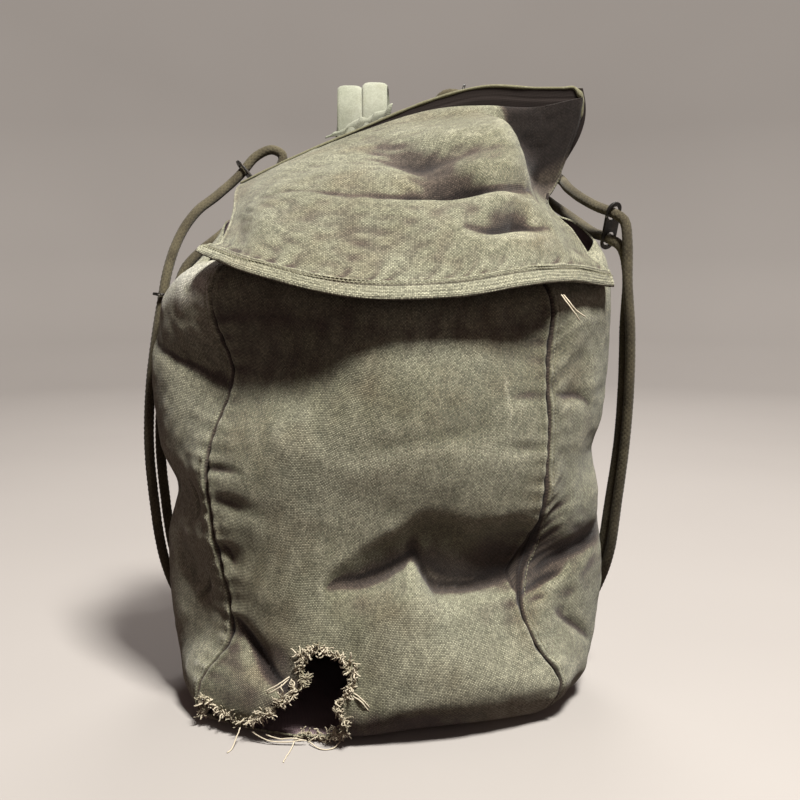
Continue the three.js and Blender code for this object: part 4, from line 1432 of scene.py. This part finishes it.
def strap(name):
    points = curve_points(STRAP_ROUTES[name], STRAP_STEP)
    side, face = frames_along(points, np.array([1.0, 0, 0]))
    profile = strap_profile()
    grid = points[:, None] + side[:, None] * profile[:, :1] + face[:, None] * profile[:, 1:]
    run = run_lengths(points, 0)[:, None]
    length = run[-1, 0]
    edge_drop = np.abs(profile[:, 0] / STRAP_WIDTH * 2) ** 3
    grid[..., 2] -= STRAP_DROOP * edge_drop * bell(run, run[np.argmax(points[:, 2])], 20)
    wave = STRAP_WAVE * ripple(run, profile[:, 0], 46, 81) * smoothstep(run, 60, 120)
    grid += face[:, None] * (wave * smoothstep(length - run, 40, 100))[..., None]
    uv = np.stack(np.broadcast_arrays(profile[:, 0] + STRAP_WIDTH, run), -1)
    piece = grid_piece("strap_web_" + name, grid, WEBBING_LOOK, uv, closed=True)
    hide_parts("shoulder_strap_" + name)


def strap_gather():
    """The bunched webbing where the straps are sewn on, just above the back panel's edge."""
    place = np.linspace(0, 1, 90)
    up = np.linspace(-1, 1, 12)
    fold = place * 2 * math.pi * GATHER_FOLDS
    x = lerp(GATHER_LEFT[0], GATHER_RIGHT[0], place) + 1.5 * np.sin(place * 31)
    y = GATHER_LEFT[1] - 1.3 * np.sin(fold)
    z = lerp(GATHER_LEFT[2], GATHER_RIGHT[2], place) + 0.8 * np.sin(fold * 0.5 + 1)
    line = np.stack([x, y, z], 1)
    tall = GATHER_TALL * (0.25 + 0.75 * smoothstep(place, 0.05, 0.45))
    tall *= 1 + 0.3 * ripple(place, 0, 0.2, 83)
    grid = line[None] + up[:, None, None] * GATHER_LEAN * (tall / GATHER_TALL)[:, None]
    grid[..., 2] += up[:, None] * tall / 2
    grid[..., 1] += 2.0 * np.maximum(up, 0)[:, None] ** 2
    uv = np.stack(np.meshgrid(run_lengths(line, 0), up * GATHER_TALL / 2 + GATHER_TALL), -1)
    thicken(grid_piece("strap_gather", grid, WEBBING_LOOK, uv), GATHER_THICK)


def braid_ridge(angle, run):
    """How far the strands of a braid stand out, from 0 to 1."""
    turn = 2 * math.pi * run / BRAID_PITCH
    over = np.cos(BRAID_STRANDS * (angle + turn / 2)) * 0.5 + 0.5
    under = np.cos(BRAID_STRANDS * (angle - turn / 2)) * 0.5 + 0.5
    passes = np.cos(math.pi * run * BRAID_STRANDS / BRAID_PITCH)
    swap = np.cos(BRAID_STRANDS / 2 * angle) * passes > 0
    return np.where(swap, np.maximum(over, 0.7 * under), np.maximum(under, 0.7 * over))


def braided_cord(name):
    points = curve_points(CORD_ROUTES[name], BRAID_STEP)
    tangent = unit(np.gradient(points, axis=0))
    first = np.zeros_like(points)
    first[0] = unit(np.cross(tangent[0], [0.3, 0.9, 0.2]))
    for k in range(1, len(points)):
        first[k] = unit(first[k - 1] - tangent[k] * (first[k - 1] @ tangent[k]))
    run = run_lengths(points, 0)
    angle = circle(BRAID_SIDES)
    ridge = braid_ridge(angle, run[:, None])
    radius = CORD / 2 - BRAID_RELIEF + 1.4 * BRAID_RELIEF * ridge
    grid = rings(points, first, np.cross(tangent, first), angle, radius[..., None])
    piece = grid_piece("cord_braid_" + name, grid, CORD_LOOK, closed=True)
    add_value(piece, "ridge", ridge)
    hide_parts("side_cord_" + name)


def slide_mesh(name):
    """A flat plate with round ends, rounded edges and two holes, lying in its own plane."""
    outline = bpy.data.curves.new(name, "CURVE")
    outline.dimensions = "2D"
    outline.fill_mode = "BOTH"
    outline.extrude = (SLIDE_THICK / 2 - SLIDE_EDGE) * MM
    outline.bevel_depth = SLIDE_EDGE * MM
    outline.bevel_resolution = 3
    outline.offset = -SLIDE_EDGE * MM
    radius = SLIDE_WIDE / 2
    turn = np.linspace(-math.pi / 2, math.pi / 2, 25)
    end = np.stack([SLIDE_LONG / 2 - radius + radius * np.cos(turn), radius * np.sin(turn)], 1)
    full = np.linspace(0, 2 * math.pi, 40, endpoint=False)
    hole = SLIDE_HOLE / 2 * np.stack([np.cos(full), np.sin(full)], 1)
    holes = [hole + [place * SLIDE_PITCH / 2, 0] for place in (-1, 1)]
    for ring in [np.vstack([end, -end])] + holes:
        spline = outline.splines.new("POLY")
        spline.points.add(len(ring) - 1)
        flat = np.zeros(len(ring))
        spline.points.foreach_set("co", np.column_stack([ring * MM, flat, flat + 1]).ravel())
        spline.use_cyclic_u = True
    shape = bpy.data.objects.new(name + "_outline", outline)
    mesh = bpy.data.meshes.new_from_object(shape)
    bpy.data.objects.remove(shape)
    return mesh


def slide(name):
    first, second, way = (np.array(p, float) for p in SLIDES[name])
    mesh = slide_mesh(name)
    rim = [abs(vertex.co.z) < (SLIDE_THICK / 2 - 0.1) * MM for vertex in mesh.vertices]
    z = unit(way)
    x = unit((second - first) - z * ((second - first) @ z))
    placed = np.column_stack([x, np.cross(z, x), z, to_frame((first + second) / 2)])
    mesh.transform(Matrix(placed.tolist() + [[0, 0, 0, 1]]))
    mesh.materials.clear()
    mesh.materials.append(SLIDE_LOOK)
    piece = link(name.replace("slide", "plate"), mesh)
    add_value(piece, "edge", rim)
    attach(piece, BODY)
    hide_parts(name)


def keeper(name):
    """An arch of webbing on the back panel that a cord runs through."""
    place, way = (np.array(p, float) for p in KEEPERS[name])
    radius = CORD / 2 + KEEPER_ROOM + KEEPER_WALL / 2
    turn = np.linspace(0, math.pi, 24)
    foot = KEEPER_FOOT - KEEPER_STAND
    arch = np.stack([radius * np.cos(turn), radius * np.sin(turn)], 1)
    legs = spaced((1, 0.2))[:-1, None]
    right = np.array([radius, foot]) + legs * np.array([0, -foot])
    line = np.vstack([right, arch, (right * [-1, 1])[::-1]])
    direction = unit(way)
    sideways = unit(np.cross([0, 1, 0], direction))
    out = np.cross(direction, sideways)
    points = place + line[:, :1] * sideways + line[:, 1:] * out
    across = np.linspace(-1, 1, 12) * KEEPER_LONG / 2
    grid = points[:, None] + direction * across[:, None]
    uv = np.stack(np.broadcast_arrays(across + KEEPER_LONG, run_lengths(points, 0)[:, None]), -1)
    piece = grid_piece("keeper_web_" + name, grid, WEBBING_LOOK, uv)
    thicken(piece, KEEPER_WALL, offset=0)
    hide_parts("cord_keeper_" + name)


def wall_at(turn, rise):
    """One point of the bag's outer face."""
    return wall(np.array([turn]), np.array([rise]))[0]


def tab(name):
    """A folded tab of webbing sewn to the side of the bag, at the foot of a cord."""
    turn, rise = TABS[name]
    across = unit(wall_at(turn + 0.01, rise) - wall_at(turn - 0.01, rise))
    up = wall_at(turn, rise + 0.02) - wall_at(turn, rise - 0.02)
    normal = unit(np.cross(across, up))
    x = unit(across - normal * (across @ normal))
    y = np.cross(normal, x)
    a, b = np.meshgrid(np.linspace(-1, 1, 30), np.linspace(-1, 1, 36))
    corner = np.clip(1 - np.abs(a) ** 10, 0, 1) * np.clip(1 - np.abs(b) ** 12, 0, 1)
    height = TAB_STAND + TAB_THICK * corner ** 0.3 * 0.98
    height -= STITCH_GROOVE * bell(np.abs(np.abs(a) - TAB_SEW) * TAB_WIDE / 2, 0, 0.9)
    grid = wall_at(turn, rise) + x * (a * TAB_WIDE / 2)[..., None] + y * (b * TAB_LONG / 2)[..., None]
    grid = grid + normal * height[..., None]
    uv = np.stack([(a + 1) * TAB_WIDE / 2, (b + 1) * TAB_LONG / 2], -1)
    piece = grid_piece("tab_web_" + name, grid, WEBBING_LOOK, uv)
    thicken(piece, TAB_CLOTH)
    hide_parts("cord_tab_" + name)


# Frayed edges

# Yarn ends: how far apart they start, how many points each has, and how they grow thinner. None
# grow from the foot of the tear, left of and below FRAY_FREE.
FRAY_STEP = 0.9
FRAY_STEPS = 8
FRAY_TAPER = np.linspace(1, 0.6, FRAY_STEPS)
FRAY_FREE = (-74, 13)

# Loose threads: radius, tone, step and how far each step strays, and their routes
THREAD = 0.6
THREAD_TONE = 1.15
THREAD_STEP = 2.0
THREAD_WANDER = 0.12
LOOSE_THREADS = [
    [(151, -97, 386), (156, -101, 379), (162, -101, 372), (167, -98, 365)],
    [(153, -96, 386), (158, -100, 379), (164, -98, 372), (171, -94, 367)],
    [(-79, -126, 62), (-84, -131, 58), (-91, -131, 53), (-97, -129, 50)],
    [(-78, -126, 64), (-84, -130, 61), (-92, -131, 56), (-98, -130, 52)],
    [(-28, -126, 50), (-22, -132, 51), (-15, -134, 46), (-9, -132, 38)],
    [(-29, -126, 48), (-22, -132, 48), (-16, -134, 44), (-11, -132, 36)],
    [(-74, -118, 6), (-77, -128, 2), (-79, -140, 0.6), (-82, -156, 0.6)],
    [(-122, -116, 14), (-125, -122, 8), (-128, -130, 1), (-131, -137, 0.6)],
    [(-62, -120, 3), (-52, -130, 0.8), (-42, -129, 1), (-36, -122, 4)],
    [(-100, -116, 8), (-88, -120, 6), (-76, -121, 7), (-64, -121, 4)],
    [(-112, -115, 10), (-98, -119, 4), (-84, -121, 3), (-66, -122, 5)],
]


def curled(start, way, length, curl, draw):
    """A thread that leaves a point and curls at random."""
    points = [np.array(start, float)]
    heading = unit(np.array(way, float))
    bend = draw.normal(0, curl, 3)
    for _ in range(FRAY_STEPS - 1):
        bend = 0.6 * bend + draw.normal(0, curl, 3)
        heading = unit(heading + bend)
        points.append(points[-1] + heading * length / (FRAY_STEPS - 1))
    return np.array(points)


def above_floor(path):
    """Keeps a thread above the floor."""
    path[:, 2] = np.maximum(path[:, 2], THREAD)
    return path


def tear_outline(step):
    """Points along the tear's edge, with the way into the hole, as x and z."""
    closed = np.vstack([TEAR, TEAR[:1]])
    run = run_lengths(closed, 0)
    line = at_lengths(np.arange(0, run[-1], step), run, closed)
    way = unit(np.roll(line, -2, axis=0) - np.roll(line, 2, axis=0))
    return line, np.stack([way[:, 1], -way[:, 0]], 1)


def fray(grid):
    """Clumps of loose yarn ends along the torn edge, and finer ends between them."""
    draw = np.random.default_rng(7)
    face = grid[..., 1] < FACE_Y
    points, normals = grid[face], grid_normals(grid)[face]
    paths, radii, tones = [], [], []

    def add(root, way, lengths, curl, sizes):
        paths.append(above_floor(curled(root, way, draw.uniform(*lengths), curl, draw)))
        radii.append(FRAY_TAPER * draw.uniform(*sizes))

    next_clump = 0.0
    for k, ((x, z), (in_x, in_z)) in enumerate(zip(*tear_outline(FRAY_STEP))):
        if x < FRAY_FREE[0] and z < FRAY_FREE[1]:
            continue
        nearest = np.argmin((points[:, 0] - x) ** 2 + (points[:, 2] - z) ** 2)
        start, normal = points[nearest], normals[nearest]
        inward = np.array([in_x, 0, in_z])
        if k * FRAY_STEP >= next_clump:
            next_clump = k * FRAY_STEP + draw.uniform(3, 8)
            lean = inward * draw.uniform(-0.3, 0.9) + normal * draw.uniform(0.4, 1.2)
            lean = lean + draw.normal(0, 0.35, 3)
            tone = draw.uniform(0.35, 0.95)
            for _ in range(draw.integers(10, 20)):
                root = start - normal * 0.8 + draw.normal(0, 1.5, 3)
                add(root, lean + draw.normal(0, 0.45, 3), (4, 11), 0.42, (0.55, 1.0))
                tones.append(tone + draw.uniform(-0.25, 0.3))
        for _ in range(draw.integers(0, 3)):
            way = inward * draw.uniform(0.3, 1) + normal * draw.uniform(-0.2, 0.8)
            way = way + draw.normal(0, 0.4, 3)
            add(start - normal * 0.6, way, (2.5, 7), 0.4, (0.4, 0.6))
            tones.append(draw.uniform(0.1, 0.8))
    tubes("tear_fray", paths, radii, 5, FRAY_LOOK, tones)


def loose_threads():
    """Long pale threads: a pair below the lid's right end, and some that trail from the tear."""
    draw = np.random.default_rng(11)
    paths = [curve_points(route, THREAD_STEP) for route in LOOSE_THREADS]
    paths = [path + np.cumsum(draw.normal(0, THREAD_WANDER, path.shape), axis=0) for path in paths]
    paths = [above_floor(path) for path in paths]
    count = len(paths)
    tubes("loose_threads", paths, [THREAD] * count, 6, FRAY_LOOK, [THREAD_TONE] * count)


# Stage

# The floor, which turns up into a round backdrop: radius and height of each ring, in metres
STAGE_RINGS = [(0.8, 0), (2.4, 0), (2.9, 0.08), (3.2, 0.35), (3.3, 0.8), (3.3, 4)]
STAGE_SIDES = 96

# Lights: name, place, what it is aimed at, size, power and color; then the light from all around
LIGHTS = [
    ("key", (0.78, -1.45, 3.4), (0, 0, 0.3), 0.66, 315, (1, 0.985, 0.94)),
    ("fill", (0.5, -2.2, 1.0), (0, 0, 0.3), 1.6, 4, (1, 0.9, 0.84)),
    ("rear", (0.2, 1.8, 2.2), (0, 0, 0.35), 1.2, 34, (1, 0.97, 0.94)),
]
AMBIENT = (1, 0.66, 0.63)
AMBIENT_STRENGTH = 0.09


def make_stage():
    """A pale floor. It throws no light back onto the pack."""
    turn = np.linspace(0, 2 * math.pi, STAGE_SIDES + 1)[:-1]
    points = [(0.0, 0.0, 0.0)]
    for radius, z in STAGE_RINGS:
        points += [(radius * math.cos(t), radius * math.sin(t), z) for t in turn]
    around = [(k, (k + 1) % STAGE_SIDES) for k in range(STAGE_SIDES)]
    faces = [(0, 1 + k, 1 + after) for k, after in around]
    for ring in range(len(STAGE_RINGS) - 1):
        low = 1 + ring * STAGE_SIDES
        high = low + STAGE_SIDES
        faces += [(low + k, high + k, high + after, low + after) for k, after in around]
    floor = link("floor", smooth_mesh("floor", points, faces, floor_material()))
    floor.visible_diffuse = False


def make_lights():
    for name, place, target, size, power, color in LIGHTS:
        light = bpy.data.lights.new(name, "AREA")
        light.size = size
        light.energy = power
        light.color = color
        lamp = link(name, light)
        lamp.location = place
        lamp.rotation_euler = (Vector(target) - Vector(place)).to_track_quat("-Z", "Y").to_euler()
    world = bpy.data.worlds.new("studio")
    world.use_nodes = True
    background = world.node_tree.nodes["Background"]
    background.inputs["Color"].default_value = rgb(*AMBIENT)
    background.inputs["Strength"].default_value = AMBIENT_STRENGTH
    bpy.context.scene.world = world
    bpy.context.scene.view_settings.view_transform = "Standard"


def make_camera():
    lens = bpy.data.cameras.new("camera")
    lens.lens = CAMERA_LENS
    lens.sensor_width = CAMERA_SENSOR
    camera = link("camera", lens)
    camera.location = CAMERA_PLACE
    camera.rotation_euler = (math.radians(90 - CAMERA_PITCH), 0, 0)
    bpy.context.scene.camera = camera


make_camera()
make_stage()
make_lights()
for slide_name in SLIDES:
    slide(slide_name)
for side_name in SIDES:
    braided_cord(side_name)
    strap(side_name)
    keeper(side_name)
    tab(side_name)
strap_gather()
front_grid = front_panel()
stitches = side_panels() + back_panel() + lid_flap()
stitch_tones = np.random.default_rng(2).uniform(0.2, 0.9, len(stitches))
tubes("seam_stitches", stitches, [STITCH_RADIUS] * len(stitches), 6, STITCH_LOOK, stitch_tones)
edge_binding()
fray(front_grid)
loose_threads()
